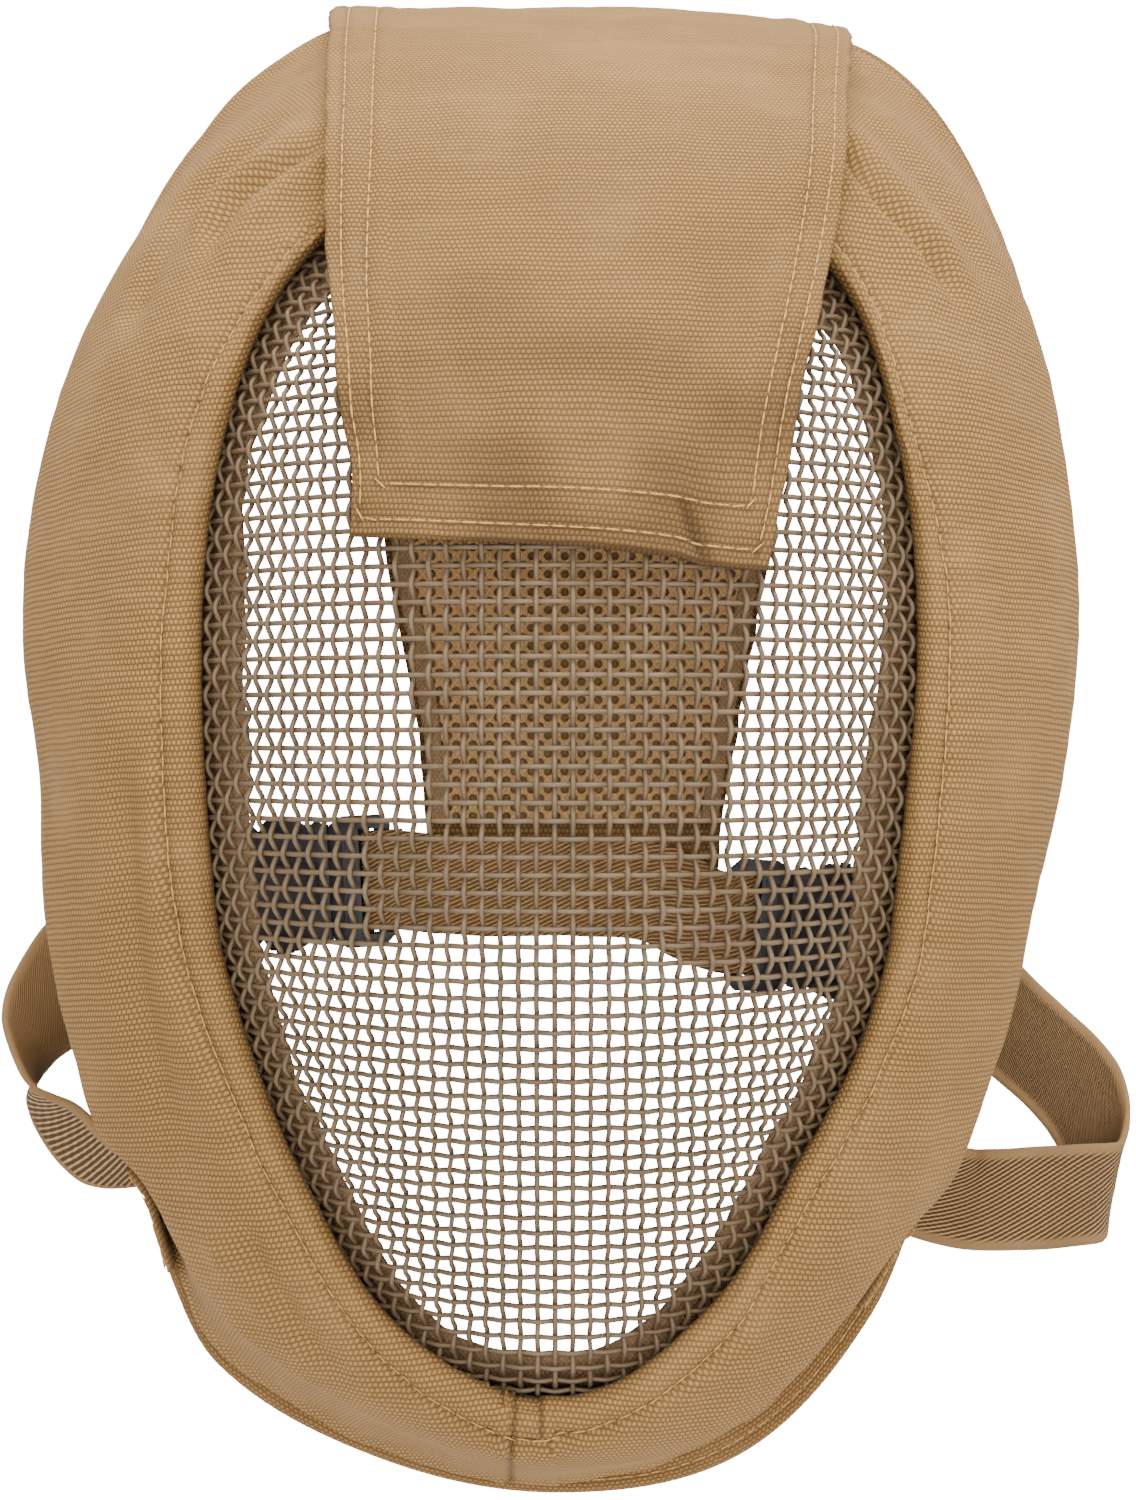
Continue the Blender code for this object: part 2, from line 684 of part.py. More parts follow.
def build_ribbon(name, route, wall, colour):
    """A flat strap swept along its route, capped at both ends."""
    fields = [smooth_curve([(i, point[k]) for i, point in enumerate(route)]) for k in range(6)]
    count = (len(route) - 1) * ROUTE_STEPS
    spots = []
    for i in range(count + 1):
        at = [field(i / ROUTE_STEPS) for field in fields]
        spots.append((Vector(at[:3]), Vector(at[3:]).normalized()))
    sections = []
    for i, (middle, width) in enumerate(spots):
        along = (spots[min(i + 1, count)][0] - spots[max(i - 1, 0)][0]).normalized()
        width = (width - along * width.dot(along)).normalized()
        half, thick = width * WEBBING_WIDTH / 2, along.cross(width) * wall / 2
        sections.append(
            [middle - half - thick, middle + half - thick, middle + half + thick, middle - half + thick]
        )
    loft(make_object(name, colour, 0.85), sections, closed=False)


def wall_radius(clock, z):
    """The radius of the cover's outer wall at this height, below its fullest line."""
    line = cover_outside(clock)
    wall = line[-WALL_STEPS - 1 :]
    for (upper, upper_z), (lower, lower_z) in zip(wall, wall[1:]):
        if z >= lower_z:
            share = (upper_z - z) / (upper_z - lower_z)
            return upper + (lower - upper) * share
    return wall[-1][0]


def build_tab(name, first, last):
    """A short sewn tab that follows the cover's wall between two clock angles."""
    sections = []
    for i in range(TAB_STEPS + 1):
        clock = first + (last - first) * i / TAB_STEPS
        line, top = [], TAB_LOW + TAB_HEIGHT
        for z, out in ((TAB_LOW, 0), (TAB_LOW, 1), (top, 1), (top, 0)):
            radius = wall_radius(clock, z) + TAB_CLEARANCE + out * TAB_THICK
            line.append(on_ray(clock, radius, z))
        sections.append(line)
    loft(make_object(name, CANVAS, 0.85), sections, closed=False)


def mirrored_outline(points):
    """A closed outline from points on one side of the u axis."""
    return list(points) + [(u, -v) for u, v in reversed(points)]


def box_outline(u_low, u_high, v_half):
    """A rectangle in a buckle's plan, even about the u axis."""
    return [(u_low, -v_half), (u_high, -v_half), (u_high, v_half), (u_low, v_half)]


def add_prism(piece, outline, low, high, rest):
    """Gives the object an upright prism of an outline in the buckle's plan."""
    count = len(outline)
    points = [buckle_point(rest, u, v, z) for z in (low, high) for u, v in outline]
    faces = [tuple(range(count)), tuple(reversed(range(count, 2 * count)))]
    for i in range(count):
        j = (i + 1) % count
        faces.append((i, j, j + count, i + count))
    fill_object(piece, points, faces)


def combine(piece, operation, outline, low, high, rest):
    """Adds or cuts a prism with a Boolean modifier; the tool prism stays hidden."""
    name = f"{piece.name}_{operation.lower()}_{len(piece.modifiers)}"
    tool = make_object(name, GREY, 0.5)
    add_prism(tool, outline, low, high, rest)
    tool.hide_render = True
    tool.display_type = "WIRE"
    modifier = piece.modifiers.new(operation.title(), "BOOLEAN")
    modifier.operation = operation
    modifier.object = tool


def trim_bar(piece, bar, rest):
    """Leaves the bar itself thin, between its two ends, so that a strap's loop lies within it."""
    outline = box_outline(bar.u_low - BAR_CUT_PAST, bar.u_high + BAR_CUT_PAST, BAR_REACH)
    combine(piece, "DIFFERENCE", outline, -CUT_PAST, BAR_LOW, rest)
    combine(piece, "DIFFERENCE", outline, BAR_HIGH, BUCKLE_HEIGHT + CUT_PAST, rest)


def build_buckle(side, rest):
    """The two halves of one fastened buckle: the plug with its arms, and the socket round them."""
    plug = make_object(f"buckle_plug_{side}", GREY, 0.42)
    low, high = PLUG_INSET, BUCKLE_HEIGHT - PLUG_INSET
    add_prism(plug, mirrored_outline(PLUG_OUTLINE), low, high, rest)
    combine(plug, "DIFFERENCE", box_outline(*PLUG_SLOT), low - CUT_PAST, high + CUT_PAST, rest)
    trim_bar(plug, PLUG_BAR, rest)
    combine(plug, "UNION", list(ARM_OUTLINE), ARM_LOW, ARM_HIGH, rest)
    combine(plug, "UNION", [(u, -v) for u, v in ARM_OUTLINE], ARM_LOW, ARM_HIGH, rest)
    combine(plug, "UNION", box_outline(*TONGUE), ARM_LOW, ARM_HIGH, rest)
    socket = make_object(f"buckle_socket_{side}", GREY, 0.42)
    add_prism(socket, mirrored_outline(SOCKET_OUTLINE), 0, BUCKLE_HEIGHT, rest)
    hollow = box_outline(SOCKET_HOLLOW_START, SOCKET_HOLLOW_END, SOCKET_HOLLOW_HALF)
    combine(socket, "DIFFERENCE", hollow, SOCKET_PLATE, BUCKLE_HEIGHT - SOCKET_PLATE, rest)
    slot = box_outline(*SOCKET_SLOT)
    combine(socket, "DIFFERENCE", slot, -CUT_PAST, BUCKLE_HEIGHT + CUT_PAST, rest)
    trim_bar(socket, SOCKET_BAR, rest)


def clear_scene():
    """Removes whatever objects the scene already holds."""
    for item in list(bpy.data.objects):
        bpy.data.objects.remove(item, do_unlink=True)


def main():
    clear_scene()
    build_visor()
    build_cover("cover_right", 0.0, CHIN_SEAM_CLOCK)
    build_cover("cover_left", CHIN_SEAM_CLOCK, 360.0)
    build_lining()
    build_binding()
    build_head_strap()
    build_crown_pad()
    left, right = BUCKLES["left"], BUCKLES["right"]
    band_left = bar_loop(left, PLUG_BAR, BAND_TAILS["left"], False)
    band_right = bar_loop(right, PLUG_BAR, BAND_TAILS["right"], False)
    band = band_left + list(BAND_MIDDLE) + list(reversed(band_right))
    build_ribbon("rear_band", band, BAND_WALL, CANVAS)
    elastic_left = bar_loop(left, SOCKET_BAR, ELASTIC_TAILS["left"], True) + list(LEFT_ROUTE)
    build_ribbon("elastic_left", elastic_left, BAND_WALL, CANVAS)
    elastic_right = bar_loop(right, SOCKET_BAR, ELASTIC_TAILS["right"], True) + list(RIGHT_ROUTE)
    build_ribbon("elastic_right", elastic_right, BAND_WALL, CANVAS)
    for name, (first, last) in TAB_CLOCKS.items():
        build_tab(name, first, last)
    for side, rest in BUCKLES.items():
        build_buckle(side, rest)


main()
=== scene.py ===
"""The looks of a wire-mesh face mask of fencing type, lying face up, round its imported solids.

Lengths in the tables are millimetres in the mask's own frame: X to the wearer's left, Y to the
forehead, Z up from the surface it lies on. A clock angle is measured in plan from the forehead,
towards +X, about the middle of the window. Meshes are moved by ORIGIN_SHIFT and made in metres.
"""

import logging
import math
from dataclasses import dataclass, field
from enum import Enum
from typing import Any, Sequence, TypeAlias

import bpy
import numpy as np
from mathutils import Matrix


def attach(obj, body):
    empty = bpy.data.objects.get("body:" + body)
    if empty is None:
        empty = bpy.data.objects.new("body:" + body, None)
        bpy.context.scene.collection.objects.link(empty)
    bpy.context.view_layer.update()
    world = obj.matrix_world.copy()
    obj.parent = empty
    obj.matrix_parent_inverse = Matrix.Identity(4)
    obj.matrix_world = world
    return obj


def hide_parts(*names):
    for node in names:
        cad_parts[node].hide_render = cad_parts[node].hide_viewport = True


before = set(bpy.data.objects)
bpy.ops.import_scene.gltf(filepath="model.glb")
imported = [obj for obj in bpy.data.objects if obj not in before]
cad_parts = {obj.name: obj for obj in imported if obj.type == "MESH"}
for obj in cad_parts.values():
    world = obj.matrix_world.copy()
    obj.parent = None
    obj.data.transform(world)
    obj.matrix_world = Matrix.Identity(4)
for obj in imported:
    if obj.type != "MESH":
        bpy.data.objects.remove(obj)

LOG = logging.getLogger("face_mask")
Array: TypeAlias = np.ndarray
Colour: TypeAlias = tuple[float, float, float]
Material: TypeAlias = bpy.types.Material
Outline: TypeAlias = tuple[tuple[float, float], ...]
Piece: TypeAlias = bpy.types.Object
Table: TypeAlias = tuple[tuple[float, ...], ...]
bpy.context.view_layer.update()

MM = 0.001
ORIGIN_SHIFT = np.array((-3.33, -0.65, 0.0))
RIM_Z = 9.0
WINDOW_MIDDLE_Y = -5.0
CHIN_SEAM_CLOCK = 183.7
WIRE_SHELL_HALF = 0.8
# radians of the stitches' wave to the millimetre of seam, one stitch a turn
STITCH_TURN = 2 * math.pi / 3.1


class Slot(str, Enum):
    """The record's material slots."""

    CANVAS = "canvas"
    BINDING = "binding"
    LINING = "lining"
    AIR_MESH = "air_mesh"
    WEBBING = "webbing"
    WIRE = "wire"
    BUCKLE = "buckle"


class Side(str, Enum):
    """The two sides of the mask, as seen in its rest."""

    LEFT = "left"
    RIGHT = "right"


# Curves, noise and meshes


class SmoothCurve:
    """A curve through (key, value) pairs in rising key order, with Catmull-Rom slopes."""

    def __init__(self, keys: Sequence[float], values: Sequence[float]) -> None:
        """Works out the slopes.

        Args:
            keys: The keys, rising.
            values: The value at each key.
        """
        self.keys = np.asarray(keys, float)
        self.values = np.asarray(values, float)
        last = len(self.keys) - 1
        before = np.maximum(np.arange(last + 1) - 1, 0)
        after = np.minimum(np.arange(last + 1) + 1, last)
        rise = self.values[after] - self.values[before]
        self.slopes = rise / (self.keys[after] - self.keys[before])

    def __call__(self, key: Any) -> Array:
        """The value at each key.

        Args:
            key: A number or an array; outside the rows it is held at the end values.

        Returns:
            The values, in the key's shape.
        """
        key = np.asarray(key, float)
        i = np.clip(np.searchsorted(self.keys, key, side="left") - 1, 0, len(self.keys) - 2)
        span = self.keys[i + 1] - self.keys[i]
        t = np.clip((key - self.keys[i]) / span, 0.0, 1.0)
        a, b = self.values[i], self.values[i + 1]
        ma, mb = self.slopes[i] * span, self.slopes[i + 1] * span
        cubic = 2 * (a - b) + ma + mb
        return a + ma * t + (3 * (b - a) - 2 * ma - mb) * t * t + cubic * t**3


class ClothNoise:
    """Smooth, seeded noise from -1 to 1 over a plane, for dents, puckers and uneven edges."""

    SIZE = 64

    def __init__(self, seed: int) -> None:
        """Draws the lattice.

        Args:
            seed: The fixed seed.
        """
        self.lattice = np.random.RandomState(seed).uniform(-1, 1, (self.SIZE, self.SIZE))

    def __call__(self, u: Any, v: Any) -> Array:
        """The noise at these places, one lattice cell a unit."""
        u, v = np.broadcast_arrays(np.asarray(u, float), np.asarray(v, float))
        i, j = np.floor(u).astype(int), np.floor(v).astype(int)
        s, t = u - i, v - j
        s, t = s**3 * (s * (6 * s - 15) + 10), t**3 * (t * (6 * t - 15) + 10)
        i, j, size = i % self.SIZE, j % self.SIZE, self.SIZE
        i2, j2 = (i + 1) % size, (j + 1) % size
        low = self.lattice[i, j] * (1 - s) + self.lattice[i2, j] * s
        high = self.lattice[i, j2] * (1 - s) + self.lattice[i2, j2] * s
        return low * (1 - t) + high * t


def shaded(colour: Colour, share: float, lift: float = 0.0) -> Colour:
    """A darker or paler shade of a colour."""
    return tuple(c * share + lift for c in colour)


def smooth_step(low: float, high: float, value: Any) -> Array:
    """0 below low, 1 above high, and a smooth rise between."""
    t = np.clip((np.asarray(value, float) - low) / (high - low), 0.0, 1.0)
    return t * t * (3 - 2 * t)


def bell(distance: Any, width: float) -> Array:
    """1 at no distance, falling smoothly to nothing over a few widths."""
    return np.exp(-((np.asarray(distance, float) / width) ** 2))


def facing(normals: Array, way: Array) -> Array:
    """The normals, each turned to point the given way."""
    return normals * np.sign((normals * way).sum(-1, keepdims=True))


def rounded(edge: Any, reach: float, least: float) -> Array:
    """How full a sewn edge is this far in from it, from least to 1 over its reach."""
    return np.sqrt(1 - (1 - np.clip(edge / reach + least, 0, 1)) ** 2)


def unit(vectors: Array) -> Array:
    """The vectors, each made one long."""
    length = np.linalg.norm(vectors, axis=-1, keepdims=True)
    return vectors / np.maximum(length, 1e-12)


def running_length(points: Array, axis: int = 0) -> Array:
    """Each point's distance along its line from the first one."""
    steps = np.linalg.norm(np.diff(points, axis=axis), axis=-1)
    start = np.zeros_like(np.take(steps, [0], axis=axis))
    return np.concatenate([start, np.cumsum(steps, axis=axis)], axis=axis)


def grid_normals(points: Array) -> Array:
    """The unit normals of a grid of points, rows crossed with columns."""
    return unit(np.cross(np.gradient(points, axis=0), np.gradient(points, axis=1)))


@dataclass
class Skin:
    """A grid of points whose rows are closed, made one mesh: a tube, ring or shell."""

    name: str
    points: Array
    wrap_rows: bool = False
    cloth: Array | None = None
    # painted shade per point, from 0 to 1, which darkens the finish's colour
    crease: Array | None = None
    capped: bool = True

    def faces(self) -> Array:
        """The quads, as point numbers."""
        rows, columns = self.points.shape[:2]
        numbers = np.arange(rows * columns).reshape(rows, columns)
        if self.wrap_rows:
            numbers = np.vstack([numbers, numbers[:1]])
        numbers = np.hstack([numbers, numbers[:, :1]])
        corners = (numbers[:-1, :-1], numbers[:-1, 1:], numbers[1:, 1:], numbers[1:, :-1])
        return np.stack([corner.ravel() for corner in corners], axis=1)

    def build(self) -> Piece:
        """Makes the object, with its caps, its cloth map and its painted shade.

        Returns:
            The object, linked to the scene.
        """
        points = (self.points.reshape(-1, 3) + ORIGIN_SHIFT) * MM
        quads = self.faces()
        rows, columns = self.points.shape[:2]
        caps: list[list[int]] = []
        if self.capped and not self.wrap_rows:
            last = (rows - 1) * columns
            caps = [list(range(columns - 1, -1, -1)), [last + j for j in range(columns)]]
        a, b, c, d = (points[quads[:, k]] for k in range(4))
        volume = np.einsum("ij,ij->i", a, np.cross(b, c) + np.cross(c, d)).sum()
        for cap in caps:
            loop = points[cap]
            fans = np.cross(loop[1:-1] - loop[0], loop[2:] - loop[0])
            volume += float((fans @ loop[0]).sum())
        flip = volume < 0
        if flip:
            quads = quads[:, ::-1]
            caps = [cap[::-1] for cap in caps]
        piece = placed(self.name, points.tolist(), [], quads.tolist() + caps)
        mesh = piece.data
        mesh.shade_smooth()
        if self.cloth is not None:
            self.map_cloth(mesh, flip, caps)
        # painted shade: stored as a point value that the finishes darken the colour by
        if self.crease is not None:
            shade = mesh.attributes.new("crease", "FLOAT", "POINT")
            shade.data.foreach_set("value", self.crease.astype(np.float32).ravel())
        return piece

    def map_cloth(self, mesh: bpy.types.Mesh, flip: bool, caps: list[list[int]]) -> None:
        """Writes the cloth's own plane, in millimetres, as the mesh's UV map.

        Args:
            mesh: The mesh of this grid.
            flip: Whether the quads were turned round.
            caps: The end faces, as point numbers.
        """
        cloth = self.cloth
        corners = (cloth[:-1, :-1], cloth[:-1, 1:], cloth[1:, 1:], cloth[1:, :-1])
        values = np.stack([corner.reshape(-1, 2) for corner in corners], axis=1)
        if flip:
            values = values[:, ::-1]
        flat = cloth[: self.points.shape[0], : self.points.shape[1]].reshape(-1, 2)
        ends = [flat[cap] for cap in caps]
        values = np.vstack([values.reshape(-1, 2), *ends]) if ends else values.reshape(-1, 2)
        mesh.uv_layers.new(name="cloth").data.foreach_set("uv", values.astype(np.float32).ravel())


def placed(name: str, points: Any, edges: Any = (), faces: Any = ()) -> Piece:
    """A new object of a new mesh, linked to the scene."""
    mesh = bpy.data.meshes.new(name)
    mesh.from_pydata(points, edges, faces)
    piece = bpy.data.objects.new(name, mesh)
    bpy.context.scene.collection.objects.link(piece)
    return piece


def line_mesh(name: str, lines: Sequence[Array], **attributes: Sequence[Array]) -> Piece:
    """An object of loose lines, for a Geometry Nodes tree to work on.

    Args:
        name: The object's name.
        lines: Each line's points, in mask millimetres.
        **attributes: For each named point attribute, its values on each line.

    Returns:
        The object, linked to the scene.
    """
    points = (np.vstack(lines) + ORIGIN_SHIFT) * MM
    edges, start = [], 0
    for line in lines:
        edges += [(start + i, start + i + 1) for i in range(len(line) - 1)]
        start += len(line)
    piece = placed(name, points.tolist(), edges)
    for label, values in attributes.items():
        joined = np.concatenate(values, axis=0).astype(np.float32)
        kind, key = ("FLOAT_VECTOR", "vector") if joined.ndim == 2 else ("FLOAT", "value")
        piece.data.attributes.new(label, kind, "POINT").data.foreach_set(key, joined.ravel())
    return piece


def made_plain(piece: Piece) -> Piece:
    """Turns what the object's modifiers give into its plain mesh, and removes them.

    Args:
        piece: An object with live modifiers.

    Returns:
        The same object.
    """
    graph = bpy.context.evaluated_depsgraph_get()
    mesh = bpy.data.meshes.new_from_object(piece.evaluated_get(graph))
    mesh.name = piece.name
    piece.modifiers.clear()
    old, piece.data = piece.data, mesh
    bpy.data.meshes.remove(old)
    return piece


def adopt(piece: Piece, slot: Slot, finish: Material, *nodes: str) -> None:
    """Gives a finished piece its material and its place in the frame.

    Args:
        piece: The piece.
        slot: The record's slot that its finish comes from.
        finish: The material.
        *nodes: The solids that it stands for.
    """
    if not piece.data.materials:
        piece.data.materials.append(finish)
    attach(piece, "root")
    if nodes:
        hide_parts(*nodes)
    LOG.info("%s: %s, %d faces", piece.name, slot.value, len(piece.data.polygons))


# Node trees


class Signal:
    """A node's output that takes part in Python arithmetic, through Math nodes."""

    def __init__(self, tree: "Tree", socket: bpy.types.NodeSocket) -> None:
        """Keeps the tree and the socket."""
        self.tree = tree
        self.socket = socket

    def math(self, operation: str, *others: Any) -> "Signal":
        """This value and others through one Math node."""
        values = {i: value for i, value in enumerate((self, *others))}
        return self.tree.node(self.tree.math_kind, values, operation=operation)

    def __add__(self, other: Any) -> "Signal":
        """Sum."""
        return self.math("ADD", other)

    def __radd__(self, other: Any) -> "Signal":
        """Sum, from the right."""
        return self.math("ADD", other)

    def __sub__(self, other: Any) -> "Signal":
        """Difference."""
        return self.math("SUBTRACT", other)

    def __rsub__(self, other: Any) -> "Signal":
        """Difference, from the right."""
        return self.tree.node(self.tree.math_kind, {0: other, 1: self}, operation="SUBTRACT")

    def __mul__(self, other: Any) -> "Signal":
        """Product."""
        return self.math("MULTIPLY", other)

    def __rmul__(self, other: Any) -> "Signal":
        """Product, from the right."""
        return self.math("MULTIPLY", other)

    def sine(self) -> "Signal":
        """The sine of this angle."""
        return self.math("SINE")

    def cosine(self) -> "Signal":
        """The cosine of this angle."""
        return self.math("COSINE")

    def size(self) -> "Signal":
        """This value without its sign."""
        return self.math("ABSOLUTE")

    def top(self, other: Any) -> "Signal":
        """The larger of the two."""
        return self.math("MAXIMUM", other)

    def rise(self, low: float, high: float, start: float = 0.0, end: float = 1.0) -> "Signal":
        """A smooth step from start to end as this value goes from low to high."""
        values = {"Value": self, "From Min": low, "From Max": high, "To Min": start, "To Max": end}
        return self.tree.node("ShaderNodeMapRange", values, interpolation_type="SMOOTHSTEP")


class Tree:
    """One node tree, with a single way to add a node to it."""

    math_kind = "ShaderNodeMath"

    def __init__(self, nodes: bpy.types.NodeTree) -> None:
        """Empties the tree."""
        self.nodes = nodes
        nodes.nodes.clear()

    def node(self, kind: str, values: dict[Any, Any] | None = None, **settings: Any) -> "Signal":
        """Adds a node.

        Args:
            kind: The node's type.
            values: The value or link of each socket, by number or by an enabled socket's name.
            **settings: Its settings, set first.

        Returns:
            Its first enabled output, or a signal on no socket.
        """
        made = self.nodes.nodes.new(kind)
        for key, value in settings.items():
            setattr(made, key, value)
        for key, value in (values or {}).items():
            named = (one for one in made.inputs if one.enabled and one.name == key)
            socket = made.inputs[key] if isinstance(key, int) else next(named)
            if isinstance(value, Signal):
                self.nodes.links.new(value.socket, socket)
            elif value is not None:
                socket.default_value = value
        outputs = [output for output in made.outputs if output.enabled]
        signal = Signal(self, outputs[0] if outputs else None)
        signal.made = made
        return signal

    def output(self, signal: Signal, name: str) -> Signal:
        """Another output of a signal's node, by name."""
        return Signal(self, signal.made.outputs[name])


class Shader(Tree):
    """A material's tree round one Principled shader."""

    def __init__(self, name: str) -> None:
        """Makes the material.

        Args:
            name: The material's name.
        """
        self.material = bpy.data.materials.new(name)
        self.material.use_nodes = True
        super().__init__(self.material.node_tree)

    def mix(self, share: Any, low: Any, high: Any) -> Signal:
        """Two colours mixed.

        Args:
            share: How much of the second, as a number or signal.
            low: The first colour.
            high: The second.

        Returns:
            The mixed colour.
        """
        low, high = (c if isinstance(c, Signal) else (*c, 1.0) for c in (low, high))
        values = {0: share, 6: low, 7: high}
        return self.node("ShaderNodeMix", values, data_type="RGBA")

    def cloth_plane(self) -> tuple[Signal, Signal]:
        """The cloth's own plane in millimetres, as two signals."""
        plane = self.node("ShaderNodeUVMap", uv_map="cloth")
        parts = self.node("ShaderNodeSeparateXYZ", {0: plane})
        return self.output(parts, "X"), self.output(parts, "Y")

    def noise(self, scale: float, detail: float = 2.0, rough: float = 0.5, stretch: Any = None) -> Signal:
        """Noise over the object's own space, this many cells a metre."""
        place = self.output(self.node("ShaderNodeTexCoord"), "Object")
        if stretch is not None:
            place = self.node("ShaderNodeMapping", {"Vector": place, "Scale": stretch})
        values = {"Vector": place, "Scale": scale, "Detail": detail, "Roughness": rough}
        return self.node("ShaderNodeTexNoise", values)

    def attribute(self, name: str) -> Signal:
        """A number kept on the mesh's points."""
        made = self.node("ShaderNodeAttribute", attribute_name=name)
        return self.output(made, "Fac")

    def beads(self, u: Signal, v: Signal, wide: float, tall: float) -> Signal:
        """Plain weave: rows of staggered floats, as a height from 0 in the gaps to 1.

        Args:
            u: The place along the rows, in millimetres.
            v: The place across them.
            wide: One float and the gap beside it.
            tall: One row.

        Returns:
            The height.
        """
        row = (v * (math.pi / tall)).cosine()
        along = (u * (2 * math.pi / wide)).cosine() * row.math("SIGN")
        return row.size().math("POWER", 0.8) * along.rise(-0.8, 0.2, 0.3, 1.0)

    def bump(self, height: Signal, distance: float, normal: Signal | None = None) -> Signal:
        """A relief this many metres deep, on top of another."""
        values = {"Strength": 1.0, "Distance": distance, "Height": height, "Normal": normal}
        return self.node("ShaderNodeBump", values)

    def close(self, fixed: dict[str, Any], **varying: Signal) -> Material:
        """Ends the tree in the Principled shader.

        Args:
            fixed: Constants, set on the shader's own sockets.
            **varying: Links, by socket name with underscores.

        Returns:
            The material.
        """
        values = dict(fixed)
        values.update({key.replace("_", " "): value for key, value in varying.items()})
        surface = self.node("ShaderNodeBsdfPrincipled", values)
        self.node("ShaderNodeOutputMaterial", {"Surface": surface})
        return self.material


class NodeGroup(Tree):
    """A Geometry Nodes tree with named inputs."""

    def __init__(self, name: str, inputs: dict[str, str]) -> None:
        """Makes the group.

        Args:
            name: The group's name.
            inputs: Each named input's socket type.
        """
        super().__init__(bpy.data.node_groups.new(name, "GeometryNodeTree"))
        face = self.nodes.interface
        face.new_socket("Geometry", in_out="INPUT", socket_type="NodeSocketGeometry")
        face.new_socket("Geometry", in_out="OUTPUT", socket_type="NodeSocketGeometry")
        self.identifiers = {}
        for label, kind in inputs.items():
            socket = face.new_socket(label, in_out="INPUT", socket_type=f"NodeSocket{kind}")
            self.identifiers[label] = socket.identifier
        self.source = self.node("NodeGroupInput")

    def given(self, name: str) -> Signal:
        """One of the group's inputs."""
        return self.output(self.source, name)

    def attribute(self, name: str, kind: str = "FLOAT") -> Signal:
        """A named attribute of the geometry."""
        return self.node("GeometryNodeInputNamedAttribute", {"Name": name}, data_type=kind)

    def scaled(self, vector: Signal, factor: Signal) -> Signal:
        """A vector times a number."""
        return self.node("ShaderNodeVectorMath", {"Vector": vector, "Scale": factor}, operation="SCALE")

    def close(self, geometry: Signal) -> None:
        """Ends the tree: instances realized, smooth, and in the given finish."""
        real = self.node("GeometryNodeRealizeInstances", {"Geometry": geometry})
        smooth = self.node("GeometryNodeSetShadeSmooth", {"Geometry": real})
        values = {"Geometry": smooth, "Material": self.given("Finish")}
        dressed = self.node("GeometryNodeSetMaterial", values)
        self.node("NodeGroupOutput", {0: dressed})

    def run(self, piece: Piece, **inputs: Any) -> Piece:
        """Puts the tree on an object with these inputs and makes the result its plain mesh.

        Args:
            piece: The object that it works on.
            **inputs: The inputs' values, with underscores for spaces.

        Returns:
            The same object.
        """
        modifier = piece.modifiers.new("shape", "NODES")
        modifier.node_group = self.nodes
        for label, value in inputs.items():
            modifier[self.identifiers[label.replace("_", " ")]] = value
        return made_plain(piece)


# Finishes


@dataclass(frozen=True)
class WovenFinish:
    """Plain-weave nylon: staggered oval floats, paler than the gaps between them."""

    name: str
    pale: Colour
    deep: Colour
    worn: Colour
    wide: float = 0.93
    tall: float = 1.09
    relief: float = 0.00024
    roughness: float = 0.8

    def material(self) -> Material:
        """Makes the material.

        Returns:
            The material, on the piece's cloth map and painted shade.
        """
        tree = Shader(self.name)
        u, v = tree.cloth_plane()
        sway = tree.noise(120.0, 2.0) - 0.5
        jitter = tree.noise(800.0, 1.0) - 0.5
        u = u + sway * 0.9 + jitter * 0.16
        v = v + sway * 0.7 + jitter * 0.13
        floats = tree.beads(u, v, self.wide, self.tall)
        fuzz = tree.noise(5200.0, 2.0, 0.6)
        patches = tree.noise(34.0, 3.0, 0.6)
        bands = tree.noise(60.0, 2.0, 0.6, (0.25, 9.0, 1.0))
        colour = tree.mix(floats, self.deep, self.pale)
        colour = tree.mix(patches.rise(0.42, 0.75) * 0.25, colour, self.worn)
        colour = tree.mix(bands.rise(0.35, 0.7) * 0.14, colour, self.deep)
        colour = tree.mix((fuzz - 0.35).top(0.0) * 0.5, colour, self.worn)
        # painted shade: the colour darkened towards a deep brown where the mesh's painted shade value is
        # high
        colour = tree.mix(tree.attribute("crease") * 0.8, colour, shaded(self.deep, 0.35, 0.008))
        normal = tree.bump(floats, self.relief)
        normal = tree.bump(fuzz, 0.00004, normal)
        rough = self.roughness + (0.5 - fuzz) * 0.15
        tint = (*(c / max(self.worn) for c in self.worn), 1.0)
        fixed = {"Sheen Weight": 0.05, "Sheen Roughness": 0.45, "Sheen Tint": tint}
        fixed["Specular IOR Level"] = 0.08
        return tree.close(fixed, Base_Color=colour, Roughness=rough, Normal=normal)


